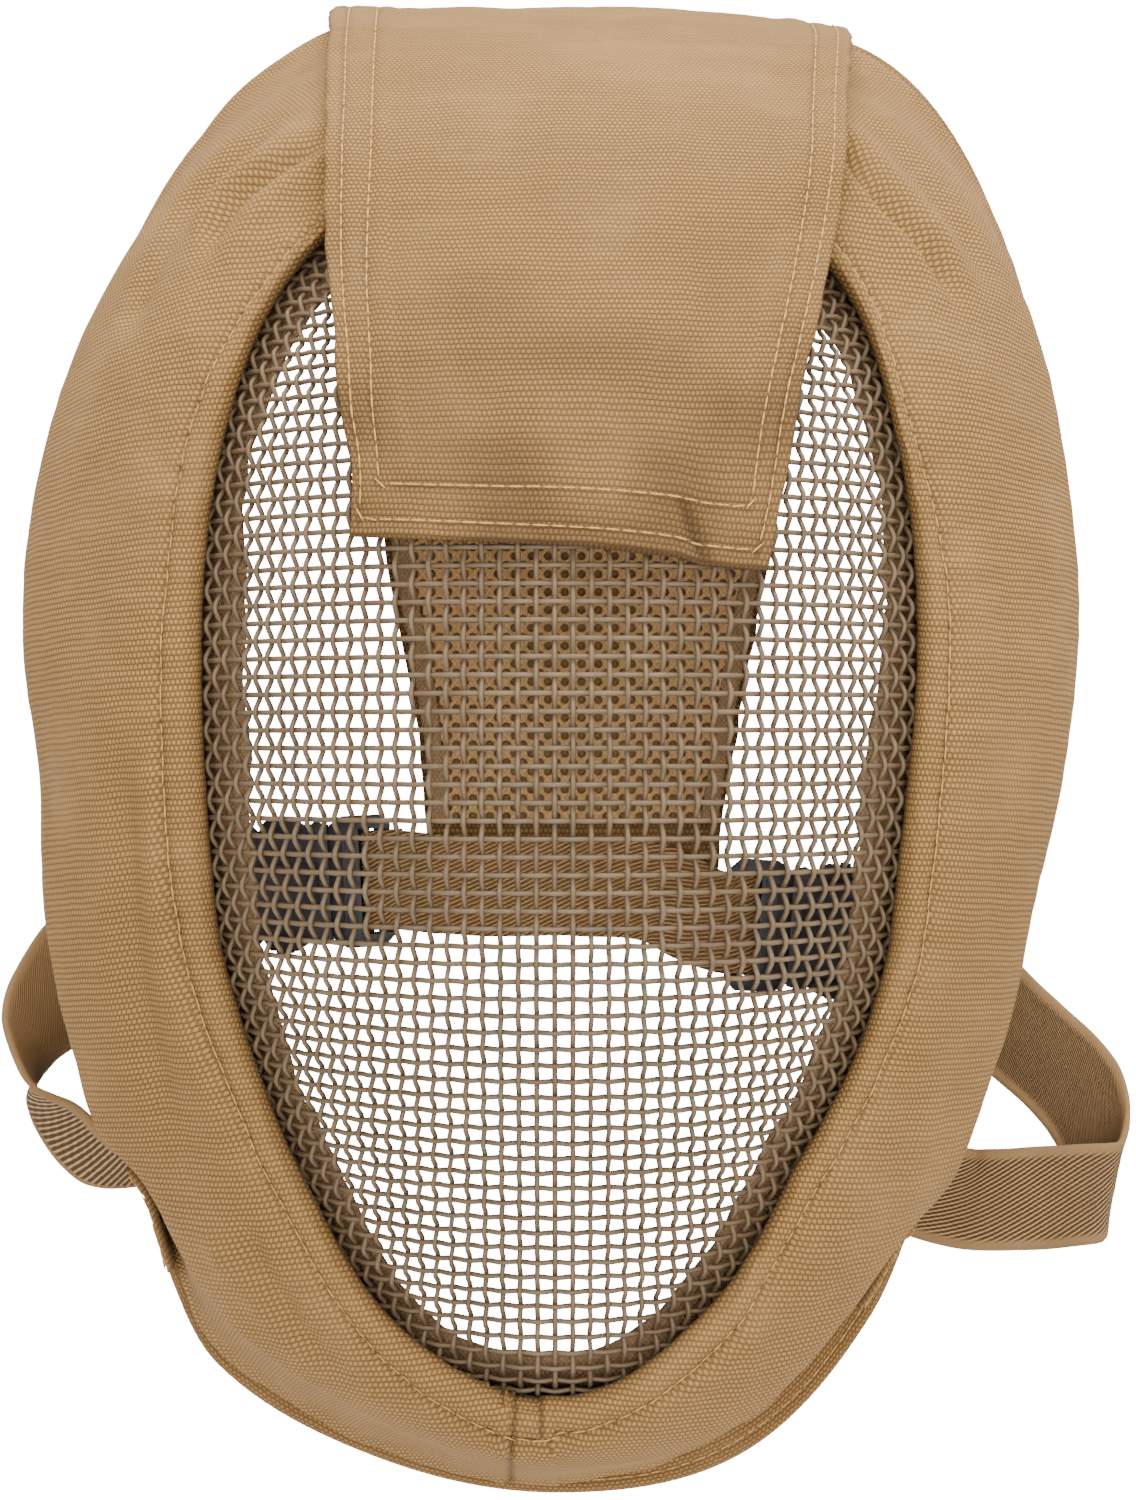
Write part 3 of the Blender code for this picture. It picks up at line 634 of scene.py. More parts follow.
@dataclass(frozen=True)
class TwillFinish:
    """Webbing or elastic: fine ribs along the cloth map, which the strap lays slantwise."""

    name: str
    pale: Colour
    deep: Colour
    pitch: float = 0.9
    fine: float = 0.42
    relief: float = 0.00045
    low: float = -0.6

    def material(self) -> Material:
        """Makes the material.

        Returns:
            The material, on the strap's cloth map: length, then width.
        """
        tree = Shader(self.name)
        u, v = tree.cloth_plane()
        jitter = tree.noise(700.0, 2.0) - 0.5
        twill = ((v + jitter * 0.2) * (2 * math.pi / self.pitch)).sine()
        picks = (u * (math.pi / self.fine)).sine() * (v * (math.pi / self.fine)).sine()
        height = (twill * 0.8 + picks * 0.22).rise(self.low, 0.8)
        # a painted shade value below 0 makes the ribs plain instead
        height = height + (0.42 - height) * (0.0 - tree.attribute("crease")).top(0.0)
        fuzz = tree.noise(4800.0, 2.0, 0.6)
        patches = tree.noise(45.0, 3.0, 0.6)
        colour = tree.mix(height, self.deep, self.pale)
        colour = tree.mix(patches.rise(0.35, 0.75) * 0.3, colour, self.deep)
        colour = tree.mix((fuzz - 0.35).top(0.0) * 0.4, colour, self.pale)
        # painted shade: the colour darkened towards a deep brown by the painted shade value
        colour = tree.mix(tree.attribute("crease") * 0.8, colour, shaded(self.deep, 0.35, 0.008))
        normal = tree.bump(fuzz, 0.00005, tree.bump(height, self.relief))
        fixed = {"Roughness": 0.8, "Specular IOR Level": 0.15}
        return tree.close(fixed, Base_Color=colour, Normal=normal)


@dataclass(frozen=True)
class KnitFinish:
    """Knitted spacer mesh or brushed lining: fine loops, matte."""

    name: str
    pale: Colour
    deep: Colour
    loop: float = 0.5
    relief: float = 0.00012

    def material(self) -> Material:
        """Makes the material on the object's own space.

        Returns:
            The material.
        """
        tree = Shader(self.name)
        place = tree.output(tree.node("ShaderNodeTexCoord"), "Object")
        parts = tree.node("ShaderNodeSeparateXYZ", {0: place})
        x, y = tree.output(parts, "X"), tree.output(parts, "Y")
        sway = (tree.noise(400.0, 2.0) - 0.5) * 0.0006
        wave = math.pi / (self.loop * MM)
        loops = (((x + sway) * wave).sine() * ((y + sway) * wave * 0.8).sine()).rise(-0.6, 0.8)
        fuzz = tree.noise(5200.0, 2.0, 0.65)
        colour = tree.mix(loops * 0.45 + fuzz * 0.55, self.deep, self.pale)
        colour = tree.mix(tree.noise(60.0, 3.0).rise(0.4, 0.8) * 0.35, colour, self.deep)
        # painted shade: the colour darkened towards a deep brown by the painted shade value
        colour = tree.mix(tree.attribute("crease") * 0.9, colour, shaded(self.deep, 0.2))
        normal = tree.bump(fuzz, 0.00008, tree.bump(loops, self.relief))
        fixed = {"Roughness": 0.9, "Specular IOR Level": 0.15}
        return tree.close(fixed, Base_Color=colour, Normal=normal)


@dataclass(frozen=True)
class WireFinish:
    """Steel wire under satin brown paint, paler where it is rubbed."""

    name: str = "painted_wire"
    paint: Colour = (0.142, 0.095, 0.052)
    rubbed: Colour = (0.24, 0.165, 0.094)

    def material(self) -> Material:
        """Makes the material.

        Returns:
            The material.
        """
        tree = Shader(self.name)
        patches = tree.noise(90.0, 4.0, 0.65)
        grain = tree.noise(2600.0, 3.0, 0.6)
        colour = tree.mix(patches.rise(0.38, 0.72) * 0.5, self.paint, self.rubbed)
        colour = tree.mix(grain.rise(0.35, 0.7) * 0.3, colour, shaded(self.paint, 0.6))
        rough = 0.34 + grain * 0.22
        normal = tree.bump(grain, 0.00003)
        fixed = {"Metallic": 0.0, "Coat Weight": 0.05, "Coat Roughness": 0.3, "Specular IOR Level": 0.28}
        return tree.close(fixed, Base_Color=colour, Roughness=rough, Normal=normal)


@dataclass(frozen=True)
class ThreadFinish:
    """Twisted sewing thread."""

    name: str
    colour: Colour

    def material(self) -> Material:
        """Makes the material.

        Returns:
            The material.
        """
        tree = Shader(self.name)
        twist = tree.noise(3000.0, 1.0, 0.5, (1.0, 1.0, 0.3))
        patches = tree.noise(60.0, 2.0)
        colour = tree.mix(twist.rise(0.35, 0.65), shaded(self.colour, 0.62), self.colour)
        colour = tree.mix(patches.rise(0.45, 0.7) * 0.35, colour, shaded(self.colour, 0.7))
        normal = tree.bump(twist, 0.00006)
        fixed = {"Roughness": 0.6, "Specular IOR Level": 0.3}
        return tree.close(fixed, Base_Color=colour, Normal=normal)


@dataclass(frozen=True)
class PlasticFinish:
    """Moulded dark grey acetal with a fine spark-eroded grain and a few scuffs."""

    name: str = "moulded_grey"
    colour: Colour = (0.030, 0.031, 0.034)

    def material(self) -> Material:
        """Makes the material.

        Returns:
            The material.
        """
        tree = Shader(self.name)
        grain = tree.noise(3200.0, 3.0, 0.6)
        scuffs = tree.noise(240.0, 4.0, 0.7, (1.0, 0.25, 1.0)).rise(0.62, 0.72)
        colour = tree.mix(scuffs * 0.4, self.colour, tuple(min(c * 3.2, 1.0) for c in self.colour))
        rough = 0.36 + grain * 0.16 + scuffs * 0.2
        normal = tree.bump(grain, 0.00004)
        fixed = {"Specular IOR Level": 0.5}
        return tree.close(fixed, Base_Color=colour, Roughness=rough, Normal=normal)


@dataclass(frozen=True)
class FloorFinish:
    """The pale floor, brightened as a lit table is."""

    name: str = "pale_floor"
    colour: Colour = (0.93, 0.93, 0.93)
    glow: float = 16.0

    def material(self) -> Material:
        """Makes the material.

        Returns:
            The material.
        """
        tree = Shader(self.name)
        shade = tree.noise(1.5, 2.0)
        colour = tree.mix(shade * 0.1, self.colour, shaded(self.colour, 0.97))
        fixed = {"Roughness": 0.9, "Emission Color": (1.0, 1.0, 1.0, 1.0), "Emission Strength": self.glow}
        return tree.close(fixed, Base_Color=colour)


class Finishes:
    """Every material of the mask, made once."""

    def __init__(self) -> None:
        """Makes them all."""
        pale, deep, worn = (0.398, 0.225, 0.077), (0.095, 0.049, 0.017), (0.413, 0.249, 0.104)
        tape, ribs = (0.345, 0.190, 0.066), ((0.50, 0.302, 0.135), (0.04, 0.021, 0.008))
        self.canvas = WovenFinish("coyote_weave", pale, deep, worn).material()
        self.binding = WovenFinish("coyote_tape", tape, deep, worn, 1.1, 0.85).material()
        self.lining = KnitFinish("brown_lining", (0.60, 0.385, 0.205), (0.28, 0.165, 0.085)).material()
        self.air_mesh = KnitFinish("spacer_knit", (0.93, 0.60, 0.28), (0.60, 0.35, 0.145)).material()
        self.webbing = TwillFinish("twill_webbing", (0.90, 0.56, 0.25), (0.22, 0.115, 0.045)).material()
        self.elastic = TwillFinish("ribbed_elastic", *ribs, 0.85, low=-0.4).material()
        self.wire = WireFinish().material()
        self.thread = ThreadFinish("tan_thread", (0.62, 0.345, 0.115)).material()
        self.buckle = PlasticFinish().material()


# The mask's shape


@dataclass(frozen=True)
class Dome:
    """The wire dome: a rim in one plane, and half-elliptic sections from forehead to chin."""

    # y, crest height, half width
    sections: tuple[tuple[float, float, float], ...] = (
        (-139, RIM_Z, 12),
        (-128, 52, 37),
        (-118, 83, 49),
        (-100, 93.5, 60),
        (-80, 104, 67.5),
        (-60, 114.5, 73),
        (-38, 122.5, 79),
        (0, 128, 86),
        (26, 128, 86),
        (60, 123, 83),
        (86, 105, 77),
        (107, 82, 68),
        (122, 61, 54),
        (131, 40, 36),
        (136, RIM_Z, 12),
    )
    slope_step: float = 0.05
    crest: SmoothCurve = field(init=False)
    half_width: SmoothCurve = field(init=False)

    def __post_init__(self) -> None:
        """Makes the two curves over the angle along the dome's length."""
        angles = [float(self.angle(row[0])) for row in self.sections]
        object.__setattr__(self, "crest", SmoothCurve(angles, [row[1] for row in self.sections]))
        object.__setattr__(self, "half_width", SmoothCurve(angles, [row[2] for row in self.sections]))

    @property
    def middle(self) -> float:
        """The y halfway along the dome."""
        return (self.sections[0][0] + self.sections[-1][0]) / 2

    @property
    def half_length(self) -> float:
        """Half the dome's length."""
        return (self.sections[-1][0] - self.sections[0][0]) / 2

    def angle(self, y: Any) -> Array:
        """The angle along the dome's length that stands for this y."""
        return np.arcsin(np.clip((np.asarray(y, float) - self.middle) / self.half_length, -1, 1))

    def height(self, x: Any, y: Any) -> Array:
        """The surface's z above a place in plan."""
        angle = self.angle(y)
        share = np.minimum(np.abs(x) / self.half_width(angle), 1.0)
        return RIM_Z + (self.crest(angle) - RIM_Z) * np.sqrt(1 - share * share)

    def depth(self, points: Array) -> Array:
        """Below 0 inside the dome, 0 on it, above 0 outside."""
        angle = self.angle(points[..., 1])
        rise = (points[..., 2] - RIM_Z) / np.maximum(self.crest(angle) - RIM_Z, 1e-6)
        return (points[..., 0] / self.half_width(angle)) ** 2 + rise**2 - 1

    def slope(self, points: Array) -> Array:
        """The gradient of the depth."""
        parts = []
        for axis in range(3):
            step = np.zeros(3)
            step[axis] = self.slope_step
            parts.append((self.depth(points + step) - self.depth(points - step)) / (2 * self.slope_step))
        return np.stack(parts, axis=-1)

    def reach(self, clock: Array) -> Array:
        """The plan radius at which each clock angle's ray meets the rim."""
        ray = clock_rays(clock)
        low, high = np.zeros_like(clock, float), np.full_like(clock, 160.0, float)
        for _ in range(40):
            middle = (low + high) / 2
            x, y = ray[..., 0] * middle, WINDOW_MIDDLE_Y + ray[..., 1] * middle
            inside = (np.abs(y - self.middle) < self.half_length) & (
                np.abs(x) < self.half_width(self.angle(y))
            )
            low, high = np.where(inside, middle, low), np.where(inside, high, middle)
        return low

    def on_ray(self, clock: Array, radius: Array) -> Array:
        """The surface point above this clock angle and radius."""
        ray = clock_rays(clock)
        x, y = ray[..., 0] * radius, WINDOW_MIDDLE_Y + ray[..., 1] * radius
        return np.stack([x, y, self.height(x, y)], axis=-1)

    def off_ray(self, clock: Array, radius: Array, offset: Any) -> Array:
        """A point off the surface by this much along its normal, above a ray."""
        radius = np.minimum(radius, self.reach(clock) - 0.02)
        here = self.on_ray(clock, radius)
        return here + unit(self.slope(here)) * np.asarray(offset)[..., None]


def clock_rays(clock: Array) -> Array:
    """The unit vectors in plan along these clock angles."""
    angle = np.radians(clock)
    return np.stack([np.sin(angle), np.cos(angle), np.zeros_like(angle)], axis=-1)


def plan_clock(x: Array, y: Array) -> tuple[Array, Array]:
    """A place's clock angle and plan radius about the window's middle."""
    return np.degrees(np.arctan2(x, y - WINDOW_MIDDLE_Y)), np.hypot(x, y - WINDOW_MIDDLE_Y)


class SideCurve:
    """A value by clock angle, from one column of the cover's table for each side."""

    def __init__(self, rows: Sequence[Sequence[float]], left: int, right: int) -> None:
        """Makes the two half curves.

        Args:
            rows: The cover's table, its first column the clock angle.
            left: The column for the left side.
            right: The column for the right side.
        """
        self.left, self.right = (self.half(rows, column) for column in (left, right))

    @staticmethod
    def half(rows: Sequence[Sequence[float]], column: int) -> SmoothCurve:
        """The curve of one side, carried a little past both ends of the half circle."""
        pairs = [(row[0], row[column]) for row in rows]
        before = [(-key, value) for key, value in reversed(pairs[1:4])]
        beyond = [(360 - key, value) for key, value in reversed(pairs[-4:-1])]
        keys, values = zip(*(before + pairs + beyond))
        return SmoothCurve(keys, values)

    def __call__(self, clock: Array) -> Array:
        """The value at each clock angle."""
        clock = (np.asarray(clock, float) + 180.0) % 360.0 - 180.0
        return np.where(clock >= 0, self.right(np.abs(clock)), self.left(np.abs(clock)))


@dataclass(frozen=True)
class CoverShape:
    """The padded cover's outer form, in plan radii about the window's middle, by clock angle."""

    dome: Dome
    # clock, window, bulge and rim (left and right of each), bulge_z, roll, groove, the stitching's
    # distance beyond the window (left, right) and the lining's inside it (left, right)
    rows: Table = (
        (0, 110.5, 110, 141.5, 141.5, 149.5, 149.5, 40, 4.2, -1.5, 7, 7, 5, 5),
        (15, 111.5, 110, 144, 142.5, 156, 154, 42, 4.6, -1, 5.5, 6.5, 5, 5),
        (22.5, 107.2, 108.1, 141.1, 142.6, 152.8, 158.0, 43.4, 6, 1.7, 4.65, 5.65, 4.7, 4.9),
        (30, 100.8, 104.2, 136.5, 141, 145, 153.2, 45, 7.5, 4.5, 4.4, 4.8, 4.3, 4.4),
        (45, 85.2, 87.6, 125, 127.2, 129, 132.8, 48, 8.3, 6, 7.7, 4.3, 3.2, 1.6),
        (60, 73.5, 75.6, 113.7, 112.5, 116.2, 116.5, 52, 8.3, 6, 7.5, 6.2, 5.6, 2.4),
        (75, 66.3, 67.9, 104.5, 102.5, 104, 102.5, 55, 8.3, 6, 8.0, 6.6, 5.4, 4.1),
        (90, 63.5, 64.1, 97.5, 96, 96, 94.5, 56, 8.3, 6, 7.8, 6.6, 5.4, 6.0),
        (105, 64.7, 64.5, 100, 93.5, 97, 93, 57, 8.3, 6, 7.6, 6.6, 5.3, 5.1),
        (120, 69.5, 69.4, 105.2, 98.2, 103.2, 97.8, 58, 8.3, 6, 7.3, 6.4, 4.6, 4.8),
        (127.5, 72.5, 72.3, 109.2, 101.7, 109.0, 101.7, 59, 8.3, 6, 7.15, 6.25, 4.1, 4.7),
        (135, 76.5, 75.8, 109.3, 106.4, 116.4, 106.6, 60, 8.3, 6, 7.0, 6.1, 3.6, 4.6),
        (142.5, 82.1, 79.7, 114.6, 108.4, 127.0, 115.7, 61.4, 8.3, 6, 7.05, 6.2, 4.0, 4.45),
        (150, 88.6, 84.8, 120, 113.6, 136.2, 125.6, 63, 8.3, 6, 7.2, 6.4, 4.6, 4.2),
        (165, 105.2, 101.8, 124.5, 126, 141.4, 141.2, 67, 8.3, 6, 7.8, 7.6, 2.6, 4.6),
        (180, 112.8, 112.8, 128.5, 128.5, 143.9, 143.9, 70, 8.3, 6, 8.4, 6.8, 5.4, 5.4),
    )
    # millimetres beyond the window edge, share of the roll's height, least height
    roll_line: tuple[tuple[float, float, float], ...] = (
        (-0.2, 0.35, 3.6),
        (0.6, 0.75, 3.9),
        (2.5, 0.97, 4.0),
        (5.4, 0.95, 3.9),
    )
    groove_gap: float = 2.0
    least_pad: float = 5.0
    # how far inside the rim the cover ends, and how much higher, where the rim stands out
    hem_in: float = 3.8
    hem_up: float = 3.2
    fall_power: float = 1.3
    pad_steps: int = 6
    wall_steps: int = 4
    wall_flare: float = 1.25
    window: SideCurve = field(init=False)
    bulge: SideCurve = field(init=False)
    rim: SideCurve = field(init=False)
    bulge_z: SideCurve = field(init=False)
    roll: SideCurve = field(init=False)
    groove: SideCurve = field(init=False)
    stitch: SideCurve = field(init=False)
    lining: SideCurve = field(init=False)

    def __post_init__(self) -> None:
        """Makes the curves from the table's columns."""
        columns = {
            "window": (1, 2),
            "bulge": (3, 4),
            "rim": (5, 6),
            "bulge_z": (7, 7),
            "roll": (8, 8),
            "groove": (9, 9),
            "stitch": (10, 11),
            "lining": (12, 13),
        }
        for name, (left, right) in columns.items():
            object.__setattr__(self, name, SideCurve(self.rows, left, right))

    def overhang(self, clock: Array) -> Array:
        """How far the rim stands out beyond the pad, from 0 to 1."""
        return smooth_step(3.0, 9.0, self.rim(clock) - self.bulge(clock))

    def hem(self, clock: Array) -> Array:
        """How far inside the rim the cover ends, which leaves the binding in sight."""
        turn = (np.asarray(clock) + 180.0) % 360.0 - 180.0
        share = 0.5 + 0.5 * smooth_step(60, 120, np.abs(turn)) + 1.0 * bell(turn - 158, 16)
        return self.hem_in * share * self.overhang(clock)

    def outline(self, clock: Array) -> Array:
        """The outer line at each clock angle, as (radius, z) from window edge to rim.

        Args:
            clock: The clock angles.

        Returns:
            An array of lines, one a clock angle.
        """
        window, bulge, rim = self.window(clock), self.bulge(clock), self.rim(clock)
        bulge_z, roll = self.bulge_z(clock), self.roll(clock)
        edge_z = self.dome.on_ray(clock, window)[..., 2]
        stitch = self.stitch(clock)
        line = []
        for beyond, share, least in self.roll_line:
            line.append((window + beyond * stitch / 7, edge_z + np.maximum(share * roll, least)))
        groove_z = edge_z + self.groove(clock)
        groove = np.minimum(window + stitch + self.groove_gap, bulge - self.least_pad)
        for step in range(self.pad_steps + 1):
            share = math.sin(math.radians(90.0 * step / self.pad_steps))
            fall = (1 - share**self.fall_power) ** (1 / self.fall_power)
            line.append((groove + (bulge - groove) * share, bulge_z + (groove_z - bulge_z) * fall))
        end, end_z = rim - self.hem(clock), RIM_Z + self.hem_up * self.overhang(clock)
        for step in range(1, self.wall_steps + 1):
            share = step / self.wall_steps
            out = bulge + (end - bulge) * share**self.wall_flare
            line.append((out, bulge_z + (end_z - bulge_z) * share))
        return np.stack([np.stack(pair, axis=-1) for pair in line], axis=-2)


def on_ray(clock: Array, radius: Array, z: Array) -> Array:
    """Points at these clock angles, radii and heights."""
    points = clock_rays(clock) * np.asarray(radius)[..., None]
    points[..., 1] += WINDOW_MIDDLE_Y
    points[..., 2] = z
    return points


def sampled(grid: Array, row: Array, column: Array) -> Array:
    """A grid's value between its points, by fractional row and column.

    Args:
        grid: The grid, of any number of values a point.
        row: The rows.
        column: The columns.

    Returns:
        The values, mixed from the four points round each place.
    """
    row = np.clip(row, 0, grid.shape[0] - 1.000001)
    column = np.clip(column, 0, grid.shape[1] - 1.000001)
    i, j = row.astype(int), column.astype(int)
    s, t = (row - i)[..., None], (column - j)[..., None]
    near = grid[i, j] * (1 - t) + grid[i, j + 1] * t
    far = grid[i + 1, j] * (1 - t) + grid[i + 1, j + 1] * t
    return near * (1 - s) + far * s


# What repeats: wires, stitches and cells


class WireTree(NodeGroup):
    """Round wires along lines, waved up and down the surface as a woven wire is."""

    def __init__(self) -> None:
        """Builds the tree."""
        inputs = {"Wire radius": "Float", "Crimp": "Float", "Sides": "Int", "Finish": "Material"}
        super().__init__("woven_wire", inputs)
        wave = self.attribute("phase").math("COSINE") * self.given("Crimp")
        offset = self.scaled(self.attribute("surface_normal", "FLOAT_VECTOR"), wave)
        source = self.output(self.source, "Geometry")
        waved = self.node("GeometryNodeSetPosition", {"Geometry": source, "Offset": offset})
        curve = self.node("GeometryNodeMeshToCurve", {"Mesh": waved})
        values = {"Resolution": self.given("Sides"), "Radius": self.given("Wire radius")}
        circle = self.node("GeometryNodeCurvePrimitiveCircle", values, mode="RADIUS")
        values = {"Curve": curve, "Profile Curve": circle, "Fill Caps": True}
        self.close(self.node("GeometryNodeCurveToMesh", values))


class StitchTree(NodeGroup):
    """Lockstitches along lines: short rounded threads with a needle hole between them."""

    def __init__(self) -> None:
        """Builds the tree."""
        inputs = dict.fromkeys(("Stitch length", "Thread radius", "Gap", "Unevenness"), "Float")
        inputs |= {"Seed": "Int", "Finish": "Material"}
        super().__init__("lockstitch", inputs)
        source = self.output(self.source, "Geometry")
        curve = self.node("GeometryNodeMeshToCurve", {"Mesh": source})
        length = self.given("Stitch length")
        values = {"Curve": curve, "Length": length}
        spots = self.node("GeometryNodeResampleCurve", values, mode="LENGTH")
        thread = self.node("GeometryNodeMeshUVSphere", {"Segments": 6, "Rings": 5, "Radius": 1.0})
        half = (length - self.given("Gap")) * 0.5
        radius = self.given("Thread radius")
        size = self.node("ShaderNodeCombineXYZ", {0: half, 1: radius, 2: radius})
        thread = self.node("GeometryNodeTransform", {"Geometry": thread, "Scale": size})
        tangent = self.node("GeometryNodeInputTangent")
        up = self.attribute("surface_normal", "FLOAT_VECTOR")
        turn = self.node("FunctionNodeAlignRotationToVector", {"Vector": tangent}, axis="X")
        values = {"Rotation": turn, "Vector": up}
        turn = self.node("FunctionNodeAlignRotationToVector", values, axis="Z", pivot_axis="X")
        uneven = self.given("Unevenness")
        values = {"Min": 1.0 - uneven, "Max": 1.0 + uneven, "Seed": self.given("Seed")}
        scale = self.node("FunctionNodeRandomValue", values, data_type="FLOAT")
        values = {"Points": spots, "Instance": thread, "Rotation": turn, "Scale": scale}
        self.close(self.node("GeometryNodeInstanceOnPoints", values))


class CellTree(NodeGroup):
    """Copies of one knitted cell, each with its own hole, at loose points."""

    def __init__(self) -> None:
        """Builds the tree."""
        super().__init__("knitted_cells", {"Cell": "Object", "Finish": "Material"})
        source = self.output(self.source, "Geometry")
        spots = self.node("GeometryNodeMeshToPoints", {"Mesh": source})
        cell = self.node("GeometryNodeObjectInfo", {"Object": self.given("Cell")})
        cell = self.output(cell, "Geometry")
        values = {"Points": spots, "Instance": cell}
        self.close(self.node("GeometryNodeInstanceOnPoints", values))


@dataclass
class Seam:
    """Rows of stitches, each a line on a surface with the surface's normals."""

    name: str
    lines: list[Array] = field(default_factory=list)
    normals: list[Array] = field(default_factory=list)

    def add(self, line: Array, normals: Array, lift: float = 0.1) -> None:
        """Adds one row, this much above the surface."""
        self.lines.append(line + unit(normals) * lift)
        self.normals.append(unit(normals))

    def sew(
        self, tree: StitchTree, finish: Material, slot: Slot, length: float = 3.1, seed: int = 1
    ) -> None:
        """Makes the stitches.

        Args:
            tree: The tree that makes them.
            finish: The thread's material.
            slot: The record's slot that the finish comes from.
            length: A stitch's length, in millimetres.
            seed: The fixed seed of their unevenness.
        """
        piece = line_mesh(self.name, self.lines, surface_normal=self.normals)
        sizes = {"Stitch_length": length * MM, "Thread_radius": 0.19 * MM, "Gap": -0.3 * MM}
        tree.run(piece, **sizes, Unevenness=0.08, Seed=seed, Finish=finish)
        adopt(piece, slot, finish)


# Sub-assemblies


def two_faced(name: str, faces: Sequence[Array], planes: Sequence[Array], painted_shades: Sequence[Array]) -> Piece:
    """Makes a thin closed piece from its upper and its under face.

    Args:
        name: The piece's name.
        faces: The points of each face.
        planes: The cloth's own plane on each.
        painted_shades: The painted shade on each.

    Returns:
        The piece.
    """
    (top, under), (plane, plane_under), (crease, painted_shade_under) = faces, planes, painted_shades
    cloth = np.hstack([plane, plane_under[:, ::-1], plane[:, :1]])
    shade = np.hstack([crease, painted_shade_under[:, ::-1]])
    return Skin(name, np.hstack([top, under[:, ::-1]]), cloth=cloth, crease=shade).build()


@dataclass
class SubAssembly:
    """A part of the mask that is built in one go, with the finishes that it takes from."""

    finishes: Finishes


@dataclass
class SewnAssembly(SubAssembly):
    """A sub-assembly with stitches, and the seam that they go to."""

    seam: Seam


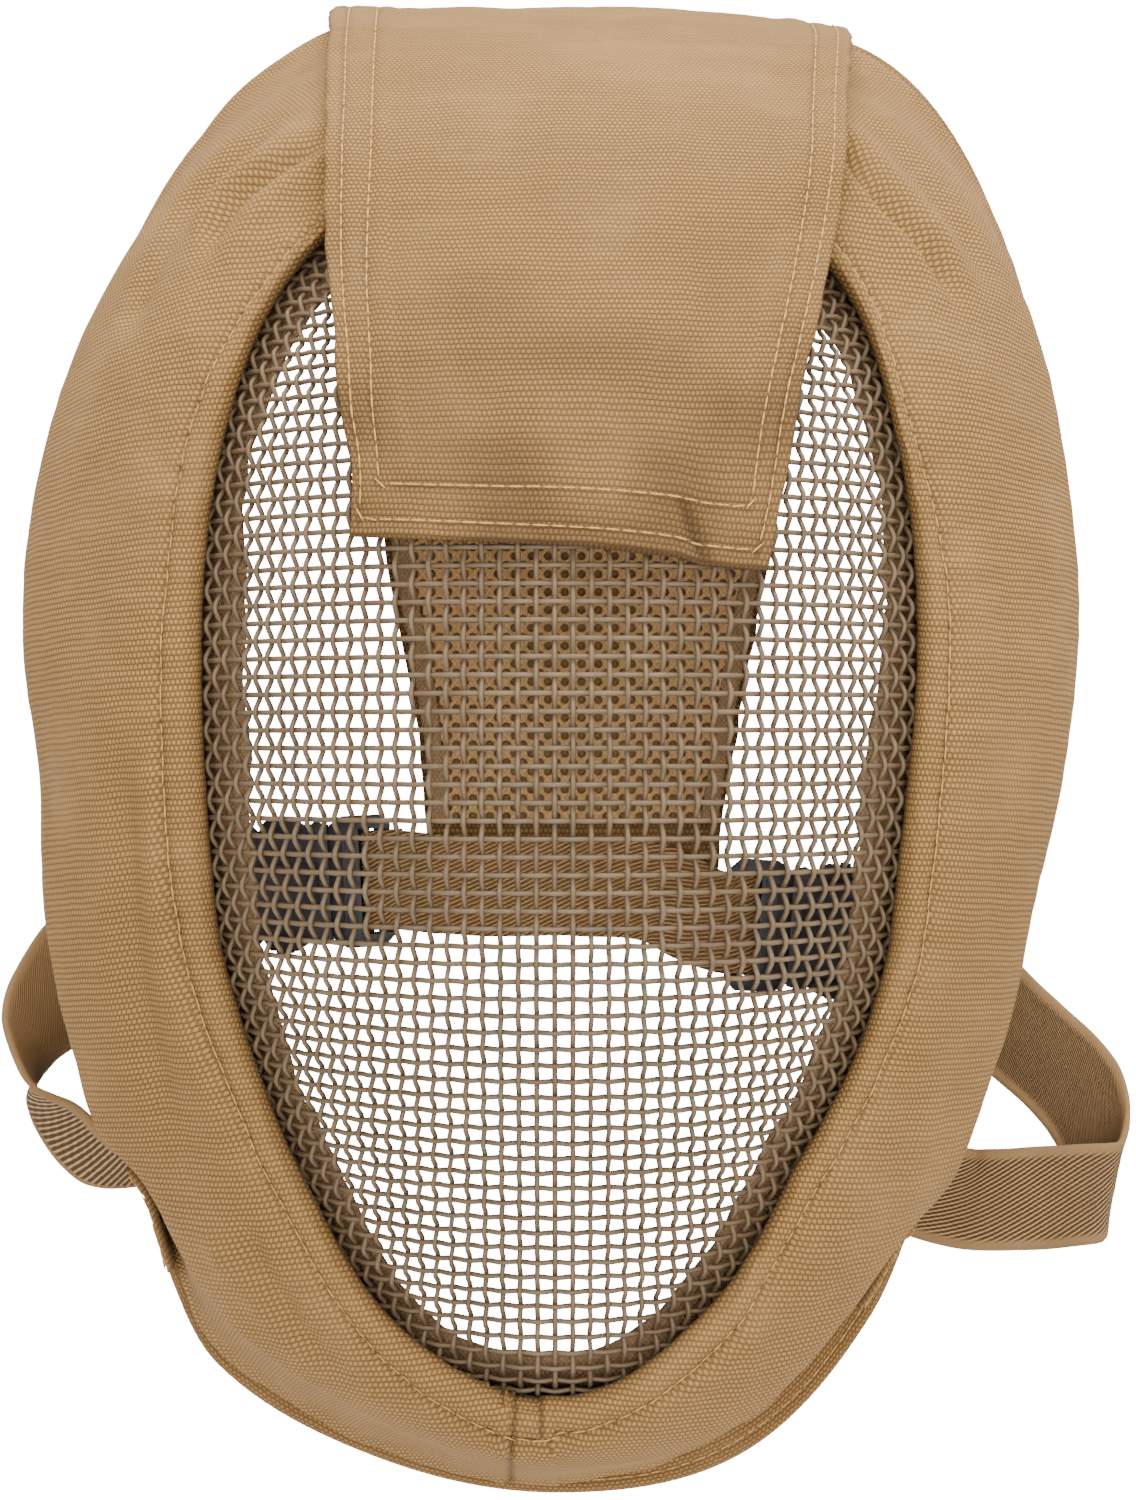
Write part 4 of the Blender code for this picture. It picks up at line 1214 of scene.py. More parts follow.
@dataclass
class WireVisor(SubAssembly):
    """The woven steel mesh, pressed over the dome so that its meshes shear but keep their sides."""

    dome: Dome
    shape: CoverShape
    pitch: float = 3.175
    wire_radius: float = 0.48
    crimps: tuple[float, float] = (0.24, 0.66)
    start_y: float = 13.0
    columns: int = 34
    rows_up: int = 38
    rows_down: int = 54
    margin: float = 9.0
    steps: int = 4
    sides: int = 6

    def march(self, axis: int, sign: int, count: int) -> Array:
        """Points a pitch apart along the crest or along the starting row.

        Args:
            axis: 0 for the starting row, 1 for the crest.
            sign: The way to go.
            count: How many steps.

        Returns:
            The points, the starting one first.
        """
        place = np.array((0.0, self.start_y))
        points = [self.lifted(place)]
        for _ in range(count):
            low, high = 0.0, self.pitch
            for _ in range(30):
                step = (low + high) / 2
                ahead = place.copy()
                ahead[axis] += sign * step
                near = np.linalg.norm(self.lifted(ahead) - points[-1]) < self.pitch
                low, high = (step, high) if near else (low, step)
            place[axis] += sign * low
            points.append(self.lifted(place))
        return np.array(points)

    def lifted(self, place: Array) -> Array:
        """The dome's point above a place in plan."""
        return np.array((*place, float(self.dome.height(place[0], place[1]))))

    def corner(self, a: Array, b: Array, guess: Array) -> Array:
        """The dome's points a pitch from both a and b, by Newton steps from a guess."""
        found = np.full_like(guess, np.nan)
        fit = np.isfinite(guess).all(axis=-1)
        if not fit.any():
            return found
        a, b, p = a[fit], b[fit], guess[fit]
        for _ in range(8):
            reach = [((p - end) ** 2).sum(-1) - self.pitch**2 for end in (a, b)]
            misses = np.stack([self.dome.depth(p), *reach], axis=-1)
            matrix = np.stack([self.dome.slope(p), 2 * (p - a), 2 * (p - b)], axis=-2)
            matrix += np.eye(3) * 1e-9
            p = p - np.clip(np.linalg.solve(matrix, misses[..., None])[..., 0], -2, 2)
        clock, radius = plan_clock(p[..., 0], p[..., 1])
        bad = (np.abs(misses).max(-1) > 0.01) | (radius > self.shape.window(clock) + self.margin + 5)
        p[bad] = np.nan
        found[fit] = p
        return found

    def net(self) -> Array:
        """The crossings of the wires, by column and row.

        Returns:
            The points, with no number where the mesh isn't seen.
        """
        c, up, down = self.columns, self.rows_up, self.rows_down
        nodes = np.full((2 * c + 1, up + down + 1, 3), np.nan)
        nodes[c, down:] = self.march(1, 1, up)
        nodes[c, : down + 1] = self.march(1, -1, down)[::-1]
        nodes[c:, down] = self.march(0, 1, c)
        for sign, count in ((1, up), (-1, down)):
            for total in range(2, c + count + 1):
                i = np.arange(max(1, total - count), min(c, total - 1) + 1)
                j = down + sign * (total - i)
                a, b, d = nodes[c + i - 1, j], nodes[c + i, j - sign], nodes[c + i - 1, j - sign]
                nodes[c + i, j] = self.corner(a, b, a + b - d)
        nodes[:c] = nodes[:c:-1] * np.array((-1, 1, 1))
        clock, radius = plan_clock(nodes[..., 0], nodes[..., 1])
        nodes[radius > self.shape.window(clock) + self.margin] = np.nan
        return nodes

    def wires(self, nodes: Array, turn: int) -> list[tuple[Array, Array, Array]]:
        """Each wire through the crossings of one row of the net.

        Args:
            nodes: The net, its first axis along the wires.
            turn: 0 or 1, which of the two sets goes over first.

        Returns:
            Each wire's points, normals and phases.
        """
        wires = []
        for j in range(nodes.shape[1]):
            seen = np.isfinite(nodes[:, j, 0]).astype(int)
            edges = np.diff(np.concatenate([[0], seen, [0]]))
            for first, last in zip(np.flatnonzero(edges == 1), np.flatnonzero(edges == -1)):
                if last - first < 3:
                    continue
                at = np.arange(first, last)
                t = np.linspace(first, last - 1, (last - 1 - first) * self.steps + 1)
                line = [SmoothCurve(at, nodes[first:last, j, k])(t) for k in range(3)]
                points = np.stack(line, axis=-1)
                normals = unit(self.dome.slope(points))
                wires.append((points, normals, (t + j + turn) * math.pi))
        return wires

    def build(self) -> None:
        """Makes the wires in four pieces."""
        nodes = self.net()
        tree = WireTree()
        rows = self.wires(nodes, 0)
        columns = self.wires(nodes.transpose(1, 0, 2), 1)
        across, down = self.crimps
        parts = {
            "visor_wires_across_upper": (across, [w for w in rows if w[0][:, 1].mean() >= 0]),
            "visor_wires_across_lower": (across, [w for w in rows if w[0][:, 1].mean() < 0]),
            "visor_wires_down_left": (down, [w for w in columns if w[0][:, 0].mean() < 0]),
            "visor_wires_down_right": (down, [w for w in columns if w[0][:, 0].mean() >= 0]),
        }
        for name, (crimp, wires) in parts.items():
            lines, normals, phases = zip(*wires)
            piece = line_mesh(name, lines, surface_normal=normals, phase=phases)
            sizes = {"Wire_radius": self.wire_radius * MM, "Crimp": crimp * MM, "Sides": self.sides}
            tree.run(piece, **sizes, Finish=self.finishes.wire)
            adopt(piece, Slot.WIRE, self.finishes.wire, "visor_mesh")


@dataclass(frozen=True)
class Fold:
    """A soft ridge or dent of the cloth along a smooth line in plan."""

    height: float
    width: float
    path: Outline
    samples: int = 60

    def rise(self, x: Array, y: Array) -> Array:
        """How far the fold lifts the cloth at these places."""
        t = np.linspace(0, 1, self.samples)
        at = t * (len(self.path) - 1)
        line = [SmoothCurve(range(len(self.path)), [point[k] for point in self.path])(at) for k in (0, 1)]
        fade = smooth_step(0.0, 0.2, t) * (1 - smooth_step(0.7, 1.0, t))
        rise = np.zeros_like(x)
        reach = 3 * self.width
        near = (x > line[0].min() - reach) & (x < line[0].max() + reach)
        near &= (y > line[1].min() - reach) & (y < line[1].max() + reach)
        away = (x[near][:, None] - line[0]) ** 2 + (y[near][:, None] - line[1]) ** 2
        rise[near] = (np.exp(-away / self.width**2) * fade).max(axis=1)
        return self.height * rise


@dataclass
class PaddedCover(SewnAssembly):
    """One half of the padded cover: a rolled window edge, a stitched groove and a full outer pad."""

    shape: CoverShape
    side: Side
    first: float
    last: float
    spacing: float = 1.06
    roll_steps: int = 26
    pad_steps: int = 76
    inner_steps: int = 14
    clearance: float = 2.0
    inner_start: float = 1.5
    least_wall: float = 1.6
    # degrees either side of the chin seam that are meshed more finely
    seam_reach: float = 5.0
    folds: tuple[Fold, ...] = ()
    points: Array = field(init=False, repr=False, default=None)
    outer: int = field(init=False, default=0)

    def clocks(self) -> Array:
        """The clock angles of the sections."""
        count = round(math.radians(self.last - self.first) * 125 / self.spacing)
        even = np.linspace(self.first, self.last, count + 1)
        fine = np.abs(even - CHIN_SEAM_CLOCK) < self.seam_reach
        between = (even[:-1] + even[1:])[fine[:-1] & fine[1:]] / 2
        return np.sort(np.concatenate([even, between]))

    def sections(self, clock: Array) -> tuple[Array, Array, Array]:
        """The outer line's points, evenly spaced either side of the stitching.

        Args:
            clock: The clock angles.

        Returns:
            The points, each point's length along its line, and the length at the stitching.
        """
        lines = self.shape.outline(clock)
        over = self.shape.overhang(clock)[:, None]
        hem = lines[:, -1] - np.hstack([0.3 + 0.9 * over, 0.3 + 1.3 * over])
        lines = np.hstack([lines, hem[:, None]])
        stitch_at = self.shape.window(clock) + self.shape.stitch(
            np.minimum(clock, 180) if self.side is Side.RIGHT else clock
        )
        rows, lengths, sewn = [], [], []
        for k, line in enumerate(lines):
            keys = running_length(line)
            radius, z = SmoothCurve(keys, line[:, 0]), SmoothCurve(keys, line[:, 1])
            fine = np.linspace(0, keys[-1], 160)
            rising = int(np.argmax(radius(fine) > stitch_at[k] + 2)) + 1
            stitch = float(np.interp(stitch_at[k], radius(fine[:rising]), fine[:rising]))
            roll = np.linspace(0, stitch, self.roll_steps, endpoint=False)
            share = np.linspace(0, 1, self.pad_steps + 1) ** 1.15
            s = np.concatenate([roll, stitch + (keys[-1] - stitch) * share])
            rows.append(np.stack([radius(s), z(s)], axis=-1))
            lengths.append(s)
            sewn.append(stitch)
        rz = np.array(rows)
        return on_ray(clock[:, None], rz[..., 0], rz[..., 1]), np.array(lengths), np.array(sewn)

    def relief(self, points: Array, clock: Array, s: Array, sewn: Array) -> tuple[Array, Array]:
        """How far the cloth stands off its plain form, and the shade painted on it.

        Args:
            points: The outer points.
            clock: The clock angles.
            s: Each point's length along its line.
            sewn: The length at the stitching.

        Returns:
            The lift in millimetres and the painted shade, each a value a point.
        """
        x, y = points[..., 0], points[..., 1]
        off = s - sewn[:, None]
        seam = running_length(points[:, self.roll_steps])[:, None]
        big, fine, wave = ClothNoise(11), ClothNoise(12), ClothNoise(13)
        lift = -0.95 * bell(off, 1.0) - 0.5 * bell(off, 3.6)
        lift += 0.16 * np.cos(seam * STITCH_TURN) * bell(off, 1.4)
        outward = np.where(off > 0, bell(off, 15.0), bell(off, 4.5))
        lift += 0.42 * wave(seam / 6.5, off / 22.0) * outward
        lift += 0.22 * fine(seam / 2.6, off / 9.0) * outward
        beyond_bulge = np.hypot(x, y - WINDOW_MIDDLE_Y) - self.shape.bulge(clock)[:, None]
        calm = 1 - 0.75 * bell(beyond_bulge, 6.0)
        pad = smooth_step(1.0, 14.0, off) * calm
        lift += pad * (0.9 * big(x / 26, y / 30) + 0.4 * big(x / 11 + 9, y / 13 + 4))
        lift += 0.08 * fine(x / 3.1, y / 3.1)
        low = smooth_step(-60, -100, y) * smooth_step(3.0, 12.0, off) * calm
        lift += 0.55 * low * wave(seam / 7.5 + 5, off / 30.0)
        for fold in self.folds:
            lift += fold.rise(x, y) * smooth_step(-2.0, 3.0, off) * calm
        over = self.shape.overhang(clock)[:, None]
        left = s[:, -1:] - s
        lift += 0.8 * over * bell(left - 5.5, 3.2) - 0.3 * over * bell(left - 1.6, 0.7)
        # painted shade: darker in the stitched groove, at the window's edge, where the cloth ends at the
        # hem, and at the needle holes
        crease = 0.5 * bell(off, 0.45) + 0.75 * bell(s, 1.6) + 0.9 * bell(left, 0.8)
        holes = np.clip(np.cos(seam * STITCH_TURN), 0, 1) ** 6
        crease += 0.5 * holes * bell(off, 0.5)
        # painted shade along the chin seam: the right half's fold line and the ragged seam line
        chin, roll = clock[:, None], 1 - smooth_step(-1.6, -0.2, off)
        if self.side is Side.RIGHT:
            lift += 0.8 * smooth_step(181.2, 181.6, chin) * roll
            crease += 0.9 * bell((chin - 181.2) * 2.0, 0.45) * roll
        else:
            frayed = bell(s, 1.8) * bell((chin - CHIN_SEAM_CLOCK) * 2.0 - 6.0, 6.0)
            lift += 0.55 * frayed * fine(seam / 0.45, s / 0.45)
        ragged = (chin - CHIN_SEAM_CLOCK) * 2.0 + 0.3 * fine(s / 0.8, 0 * s + 3.3)
        crease += 0.95 * bell(ragged, 0.5)
        return lift, np.clip(crease, 0, 1)

    def cloth_plane(self, points: Array, clock: Array, s: Array) -> Array:
        """Lays the outer cloth flat: plan places, spread by what each line gains over its plan."""
        ray = clock_rays(clock)[:, None]
        radius = np.hypot(points[..., 0], points[..., 1] - WINDOW_MIDDLE_Y)
        extra = (s - (radius - radius[:, :1]))[..., None]
        spread = np.sign(ray[..., :2]) * np.abs(ray[..., :2]) ** 3
        spread = spread * (1 - 0.65 * smooth_step(-60, -100, points[..., 1:2]))
        flat = points[..., :2] + extra * spread
        x = flat[..., 0] + 75 * (1 if self.side is Side.LEFT else -1)
        tilt = 0.14 if self.side is Side.LEFT else -0.10
        low = smooth_step(10, -90, flat[..., 1])
        flat[..., 1] -= x * tilt * (0.35 + 0.65 * low)
        return flat

    def held_inside(self, inner: Array, outer: Array, clock: Array) -> Array:
        """Draws the inner wall in wherever it would come through the outer one.

        Args:
            inner: The inner wall's points.
            outer: The outer points.
            clock: The clock angles.

        Returns:
            The inner points.
        """
        middle = np.array((0.0, WINDOW_MIDDLE_Y))
        for row, line, top in zip(inner, outer, self.shape.bulge_z(clock)):
            wall = line[line[:, 2] < top][::-1]
            arms = row[:, :2] - middle
            room = np.interp(row[:, 2], wall[:, 2], np.linalg.norm(wall[:, :2] - middle, axis=1))
            excess = 1 - np.minimum((room - self.least_wall) / np.linalg.norm(arms, axis=1), 1)
            excess *= smooth_step(RIM_Z + 1, RIM_Z + 8, row[:, 2]) * (row[:, 2] < top)
            row[:, :2] = middle + arms * (1 - excess)[:, None]
        return inner

    def build(self) -> None:
        """Makes the half and its row of stitches."""
        clock = self.clocks()
        outer, s, sewn = self.sections(clock)
        normals = facing(grid_normals(outer), outer - np.array((0, WINDOW_MIDDLE_Y, 30)))
        lift, crease = self.relief(outer, clock, s, sewn)
        cloth = self.cloth_plane(outer, clock, s)
        ends = np.minimum(clock - clock[0], clock[-1] - clock)
        if self.side is Side.LEFT:
            lift += 0.9 * bell((clock - self.first) * 2.0, 3.0)[:, None]
        lift -= 1.1 * bell(ends * 2.0, 0.9)[:, None]
        outer = outer + normals * lift[..., None]
        self.outer = outer.shape[1]
        reach = self.shape.dome.reach(clock)
        start = self.shape.window(clock) + self.inner_start
        share = np.sin(np.radians(np.linspace(90, 0, self.inner_steps)))
        radius = start[:, None] + (reach - start)[:, None] * share
        angle = np.repeat(clock[:, None], self.inner_steps, axis=1)
        gap = np.full_like(radius, WIRE_SHELL_HALF + self.clearance)
        inner = self.held_inside(self.shape.dome.off_ray(angle, radius, gap), outer, clock)
        self.points = np.hstack([outer, inner])
        # painted shade: the inner wall, in the hollow under the pad, is painted fully dark
        shade = np.hstack([crease, np.ones(inner.shape[:2])])
        cloth = np.hstack([cloth, inner[..., :2], cloth[:, :1]])
        piece = Skin(f"cover_{self.side.value}_cloth", self.points, cloth=cloth, crease=shade).build()
        adopt(piece, Slot.CANVAS, self.finishes.canvas, f"cover_{self.side.value}")
        fresh = facing(grid_normals(outer), normals)
        self.seam.add(outer[2:-2, self.roll_steps], fresh[2:-2, self.roll_steps], 0.12)


@dataclass
class InnerLining(SubAssembly):
    """The brown lining inside the wires, from just inside the window's edge to the rim."""

    shape: CoverShape
    clearance: float = 1.6
    wall: float = 1.5
    steps: int = 30
    spacing: float = 2.1

    def build(self) -> None:
        """Makes the lining."""
        count = round(2 * math.pi * 100 / self.spacing)
        clock = CHIN_SEAM_CLOCK + 360.0 * np.arange(count) / count
        ray = clock_rays(clock)
        uneven = ClothNoise(21)(ray[:, 0] * 14 + 20, ray[:, 1] * 14 + 20)
        start = self.shape.window(clock) - self.shape.lining(clock) + 0.8 * uneven
        reach = self.shape.dome.reach(clock)
        share = np.sin(np.radians(np.linspace(0, 90, self.steps + 1)))
        radius = start[:, None] + (reach - start)[:, None] * share
        angle = np.repeat(clock[:, None], self.steps + 1, axis=1)
        middle = -(WIRE_SHELL_HALF + self.clearance + self.wall / 2)
        x, y = radius * ray[:, :1], radius * ray[:, 1:2]
        sag = np.abs(ClothNoise(22)(x / 9 + 30, y / 9 + 30)) * 0.7 + 0.15 * ClothNoise(23)(x / 3, y / 3)
        edge = np.arange(self.steps + 1) * 0.8
        round_off = rounded(edge, 1.2, 0.15)
        half = np.broadcast_to(self.wall / 2 * round_off, radius.shape)
        near = self.shape.dome.off_ray(angle, radius, middle - sag + half)
        far = self.shape.dome.off_ray(angle, radius, middle - sag - half)
        points = np.hstack([near, far[:, ::-1]])
        points[..., 2] = np.maximum(points[..., 2], RIM_Z - 0.6)
        # painted shade: a little over the whole lining, and darker towards the chin
        shade = 0.06 + 0.45 * smooth_step(-78, -100, points[..., 1])
        piece = Skin("inner_lining_cloth", points, crease=shade, wrap_rows=True).build()
        adopt(piece, Slot.LINING, self.finishes.lining, "inner_lining")


@dataclass
class RimBinding(SewnAssembly):
    """The tape bound round the back rim, full and slightly puckered by its stitching."""

    shape: CoverShape
    top: float = 9.5
    power: float = 3.4
    spacing: float = 1.05
    around: int = 44
    sewn: int = 8
    lift_fade: float = 9.0
    # clock, half width, lift: where straps pass under the rim
    crossings: tuple[tuple[float, float, float], ...] = ((2.5, 22, 2.8), (118, 14, 2.6), (-112, 14, 2.6))

    def lift(self, clock: Array) -> Array:
        """How far the rim is raised over the straps that pass under it."""
        lift = np.zeros_like(clock)
        for at, half_width, height in self.crossings:
            away = np.abs((clock - at + 180.0) % 360.0 - 180.0) - half_width
            lift = np.maximum(lift, height * smooth_step(0, 1, 1 - away / self.lift_fade))
        return lift

    def build(self) -> None:
        """Makes the binding and its row of stitches."""
        count = round(2 * math.pi * 122 / self.spacing)
        clock = CHIN_SEAM_CLOCK + 360.0 * np.arange(count) / count
        outer = self.shape.rim(clock)
        inner = self.shape.dome.reach(clock) - 5.0
        low = self.lift(clock)
        turn = np.radians(np.arange(self.around) * 360.0 / self.around)
        wide = np.sign(np.cos(turn)) * np.abs(np.cos(turn)) ** (2 / self.power)
        high = np.sign(np.sin(turn)) * np.abs(np.sin(turn)) ** (2 / self.power)
        radius = (outer + inner)[:, None] / 2 + (outer - inner)[:, None] / 2 * wide
        z = (self.top + low)[:, None] / 2 + (self.top - low)[:, None] / 2 * high
        points = on_ray(clock[:, None], radius, z)
        seam_at = running_length(points[:, 0])[:, None]
        out = outer[:, None] - radius
        upper = np.clip(high, 0, 1)
        wave, fine = ClothNoise(31), ClothNoise(32)
        pull = 0.20 * np.cos(seam_at * STITCH_TURN) * bell(out - 3.2, 2.0)
        pull += (0.24 * wave(seam_at / 7.0, out / 8.0) + 0.08 * fine(seam_at / 2.4, out / 3.0)) * (out > 1.0)
        pull -= 0.4 * bell(out - 2.7, 0.7) * (upper > 0.3)
        normals = grid_normals(np.hstack([points, points[:, :1]]))[:, :-1]
        away = np.stack([wide, high], axis=-1)
        outward = clock_rays(clock)[:, None] * away[:, :1]
        outward[..., 2] = away[:, 1]
        normals = facing(normals, outward)
        flat_floor = 1 - smooth_step(0.3, 0.9, -high)
        points = points + normals * (pull * flat_floor)[..., None]
        points[..., 2] = np.maximum(points[..., 2], 0.0)
        closed = np.hstack([points, points[:, :1]])
        arc = running_length(closed, axis=1)
        seam_grid = np.repeat(seam_at, closed.shape[1], axis=1)
        cloth = np.stack([seam_grid, arc], axis=-1)
        cloth = np.concatenate([cloth, cloth[:1] + np.array((seam_at[-1, 0] + 0.9, 0))], axis=0)
        # painted shade: a line along the stitching on the top, and dark where the tape runs in under the
        # cover's hem
        crease = 0.25 * bell(out - 2.6, 0.6) * (upper > 0.3)
        crease = np.clip(crease + 0.85 * smooth_step(0.3, 2.2, out - self.shape.hem(clock)[:, None]), 0, 1)
        piece = Skin("rim_binding_tape", points, wrap_rows=True, cloth=cloth, crease=crease).build()
        adopt(piece, Slot.BINDING, self.finishes.binding, "rim_binding")
        ring = np.concatenate([points[:, self.sewn], points[:1, self.sewn]])
        up = np.concatenate([normals[:, self.sewn], normals[:1, self.sewn]])
        self.seam.add(ring, up, 0.06)


@dataclass
class HeadStrap(SewnAssembly):
    """The sewn flap over the forehead, folded round the rim and back inside the hollow."""

    wall: float = 2.2
    hem: float = 11.6
    across: int = 84
    spacing: float = 1.35
    stitch_end: float = 178.0
    hem_step: float = 0.42
    # y, z, left, right, fall, back
    rows: Table = (
        (36, 131.3, -36, 37.4, 13, 0),
        (48, 130.1, -36, 40.5, 13, 0),
        (60, 127.6, -38, 43, 12.5, 0),
        (72, 122.4, -39.3, 46, 11.5, 0),
        (84, 115.0, -40.8, 49, 10.0, 0),
        (96, 106.0, -41.7, 51.5, 8.5, 0),
        (108, 95.5, -42.3, 53.5, 6.5, 0),
        (118, 84.5, -42.6, 54.5, 6.5, 0),
        (127, 72, -43, 55.5, 6.5, 0.5),
        (134.5, 58, -43.5, 56.5, 4.5, 1),
        (140.5, 42, -44, 57.5, 3, 1),
        (145.5, 24, -44.6, 58, 2, 1.5),
        (148.6, 9, -45, 58, 0, 2),
        (149.3, 3.6, -45, 57.5, 0, 2),
        (147.6, 0.5, -45, 57, 0, 2),
        (144.5, 0, -45, 57, 0, 2),
        (110, 0, -42.5, 53, 0, 0),
        (70, 0, -38, 47, 0, 0),
        (40, 0, -34.5, 43, 0, 0),
        (10, 0, -29, 37.5, 0, 0),
        (-16, 0, -26, 33.4, 0, 0),
        (-37, 0, -25, 31.5, 0, 0),
    )
    # x, how far the free front edge lies from its row
    front_edge: Outline = (
        (-37, 1.4),
        (-12, 0.0),
        (9, -1.1),
        (21, -2.4),
        (26, -3.8),
        (36, -4.5),
    )
    front_fade: float = 30.0
    # distance from the front edge; the outer row's and the inner row's from the left and right sides
    stitch_rows: Table = (
        (0, 1.9, 3.0, 4.9, 6.5),
        (40, 3.0, 3.3, 7.5, 7.5),
        (90, 3.7, 3.0, 9.2, 7.4),
        (210, 3.8, 3.0, 9.3, 7.3),
    )
    stitch_fronts: tuple[float, float] = (3.2, 9.8)

    def surface(self, t: Array, share: Array) -> Array:
        """The strap's outer face, by row and by share of its width."""
        fields = [SmoothCurve(range(len(self.rows)), [row[k] for row in self.rows]) for k in range(6)]
        y, z, left, right, fall, back = (curve(t) for curve in fields)
        x = left + (right - left) * share
        bend = (x / 40.0) ** 2
        return np.stack([x, y - back * bend * (x > 0), z - fall * bend], axis=-1)

    def side_rows(self, which: int, s: Array) -> tuple[Array, Array]:
        """How far one stitch row lies from the left and the right side, at each distance s."""
        keys = [row[0] for row in self.stitch_rows]
        return tuple(
            SmoothCurve(keys, [row[1 + 2 * which + k] for row in self.stitch_rows])(s) for k in (0, 1)
        )

    def grid(self) -> tuple[Array, Array, Array]:
        """Lays the outer face out.

        Returns:
            The points, each row's distance from the front, and each point's from the left side.
        """
        fine = np.linspace(0, len(self.rows) - 1, 1600)
        middle = self.surface(fine, np.full_like(fine, 0.5))
        length = running_length(middle)
        count = round(length[-1] / self.spacing)
        s = np.concatenate([[0, 0.25, 0.6], np.linspace(1.1, length[-1] - 1.1, count)])
        s = np.concatenate([s, length[-1] - np.array([0.6, 0.25, 0.0])])
        t = np.interp(s, length, fine)
        side = np.concatenate([[0, 0.003, 0.007], np.linspace(0.012, 0.988, self.across), [0.993, 0.997, 1]])
        points = self.surface(t[:, None], side[None, :])
        edge = SmoothCurve(*zip(*self.front_edge))(points[..., 0])
        shift = edge * (1 - smooth_step(0, self.front_fade, s))[:, None]
        points[..., 1] += shift
        points[..., 2] -= shift * 0.10
        return points, s, running_length(points, axis=1)

    def relief(self, points: Array, s: Array, across: Array) -> tuple[Array, Array, Array]:
        """The cloth's lift, its painted shade, and each point's distance from the nearer side edge."""
        width = across[:, -1:]
        side = np.minimum(across, width - across)
        front = np.broadcast_to(s[:, None], side.shape)
        edge = np.minimum(side, front)
        x, y = points[..., 0], points[..., 1]
        big, fine, wave = ClothNoise(41), ClothNoise(42), ClothNoise(43)
        soft = smooth_step(0.5, 10, edge)
        lift = 0.55 * big(across / 23, front / 27) * soft + 0.3 * wave(across / 9, front / 12) * soft
        lift += 0.08 * fine(across / 2.6, front / 2.6)
        lift -= self.hem_step * smooth_step(self.hem, self.hem + 1.2, edge)
        # painted shade: darker towards the free front edge in uneven patches, and below along the stitch
        # rows, in the tuck and at the edges
        crease = 0.29 * (1 - smooth_step(25, 115, front)) + 0.27 * (1 - smooth_step(14, 44, front))
        crease = crease * (1 + 0.6 * big(across / 15, front / 12))
        for which, d_front in enumerate(self.stitch_fronts):
            d_left, d_right = self.side_rows(which, front)
            beyond = np.minimum(across - d_left, width - across - d_right)
            inside = (front > d_front - 1.5) & (beyond > -1.5)
            away = np.minimum(np.abs(beyond), np.abs(front - d_front))
            lift -= 0.34 * bell(away, 0.8) * inside
            lift += 0.14 * wave((across + front) / 3.4, edge / 4) * bell(away, 3.0) * inside
            crease += 0.4 * bell(away, 0.4) * inside
        off_tuck = x - 22.4 - (42.3 - y) * 0.4
        tuck = bell(off_tuck, 1.0) * (1 - smooth_step(6.5, 11, front))
        lift += 0.45 * bell(off_tuck - 2.4, 1.6) * (1 - smooth_step(6.5, 13, front)) - 0.95 * tuck
        crease += 0.55 * tuck + 0.5 * bell(edge, 0.5)
        return lift, np.clip(crease, 0, 1), side

    def build(self) -> None:
        """Makes the strap and the stitching round its hem."""
        outer, s, across = self.grid()
        normals = grid_normals(outer)
        normals *= np.sign(normals[2, outer.shape[1] // 2, 2])
        lift, crease, side = self.relief(outer, s, across)
        ends = np.minimum(s, s[-1] - s)[:, None]
        wear = ClothNoise(44)(across / 5, s[:, None] / 5 + 7) * 0.35
        edge = np.minimum(side, np.broadcast_to(ends, side.shape))
        full = rounded(edge, 1.1, 0.08)
        slim = 1 - 0.28 * smooth_step(self.hem, self.hem + 1.2, edge)
        middle = outer - normals * (self.wall / 2)
        half = self.wall / 2 * full
        top = middle + normals * (half + lift * full)[..., None]
        under = middle - normals * (half * slim - lift * full * 0.6)[..., None]
        top[..., 2], under[..., 2] = np.maximum(top[..., 2], 0.02), np.maximum(under[..., 2], 0.02)
        sideways = unit(np.gradient(outer, axis=1)) * (wear * bell(side, 2.0))[..., None]
        top, under = top + sideways, under + sideways
        flat = np.stack([across - across[:, -1:] / 2, np.broadcast_to(-s[:, None], across.shape)], axis=-1)
        piece = two_faced("head_strap_cloth", (top, under), (flat, flat), (crease, crease))
        adopt(piece, Slot.CANVAS, self.finishes.canvas, "head_strap")
        self.stitch(top, grid_normals(top) * np.sign(normals[2, 2, 2]), s, across)

    def stitch(self, top: Array, normals: Array, s: Array, across: Array) -> None:
        """Adds the two U-shaped rows of stitches.

        Args:
            top: The strap's outer face.
            normals: Its normals.
            s: Each row's distance from the front edge.
            across: Each point's distance from the left edge.
        """
        normals = facing(normals, grid_normals(top))
        if normals[2, top.shape[1] // 2, 2] < 0:
            normals = -normals
        columns = np.arange(across.shape[1], dtype=float)
        numbers = np.arange(len(s))
        for which, d_front in enumerate(self.stitch_fronts):
            down = np.arange(self.stitch_end, d_front, -1.0)
            rows = np.interp(down, s, numbers)
            left, right = self.side_rows(which, down)
            path = [(row, np.interp(d, across[int(row)], columns)) for row, d in zip(rows, left)]
            front = float(np.interp(d_front, s, numbers))
            width = across[int(front), -1]
            path += [
                (front, np.interp(d, across[int(front)], columns))
                for d in np.arange(left[-1], width - right[-1], 1.0)
            ]
            path += [
                (row, np.interp(across[int(row), -1] - d, across[int(row)], columns))
                for row, d in zip(rows[::-1], right[::-1])
            ]
            row, column = np.array(path).T
            self.seam.add(sampled(top, row, column), sampled(normals, row, column), 0.12)


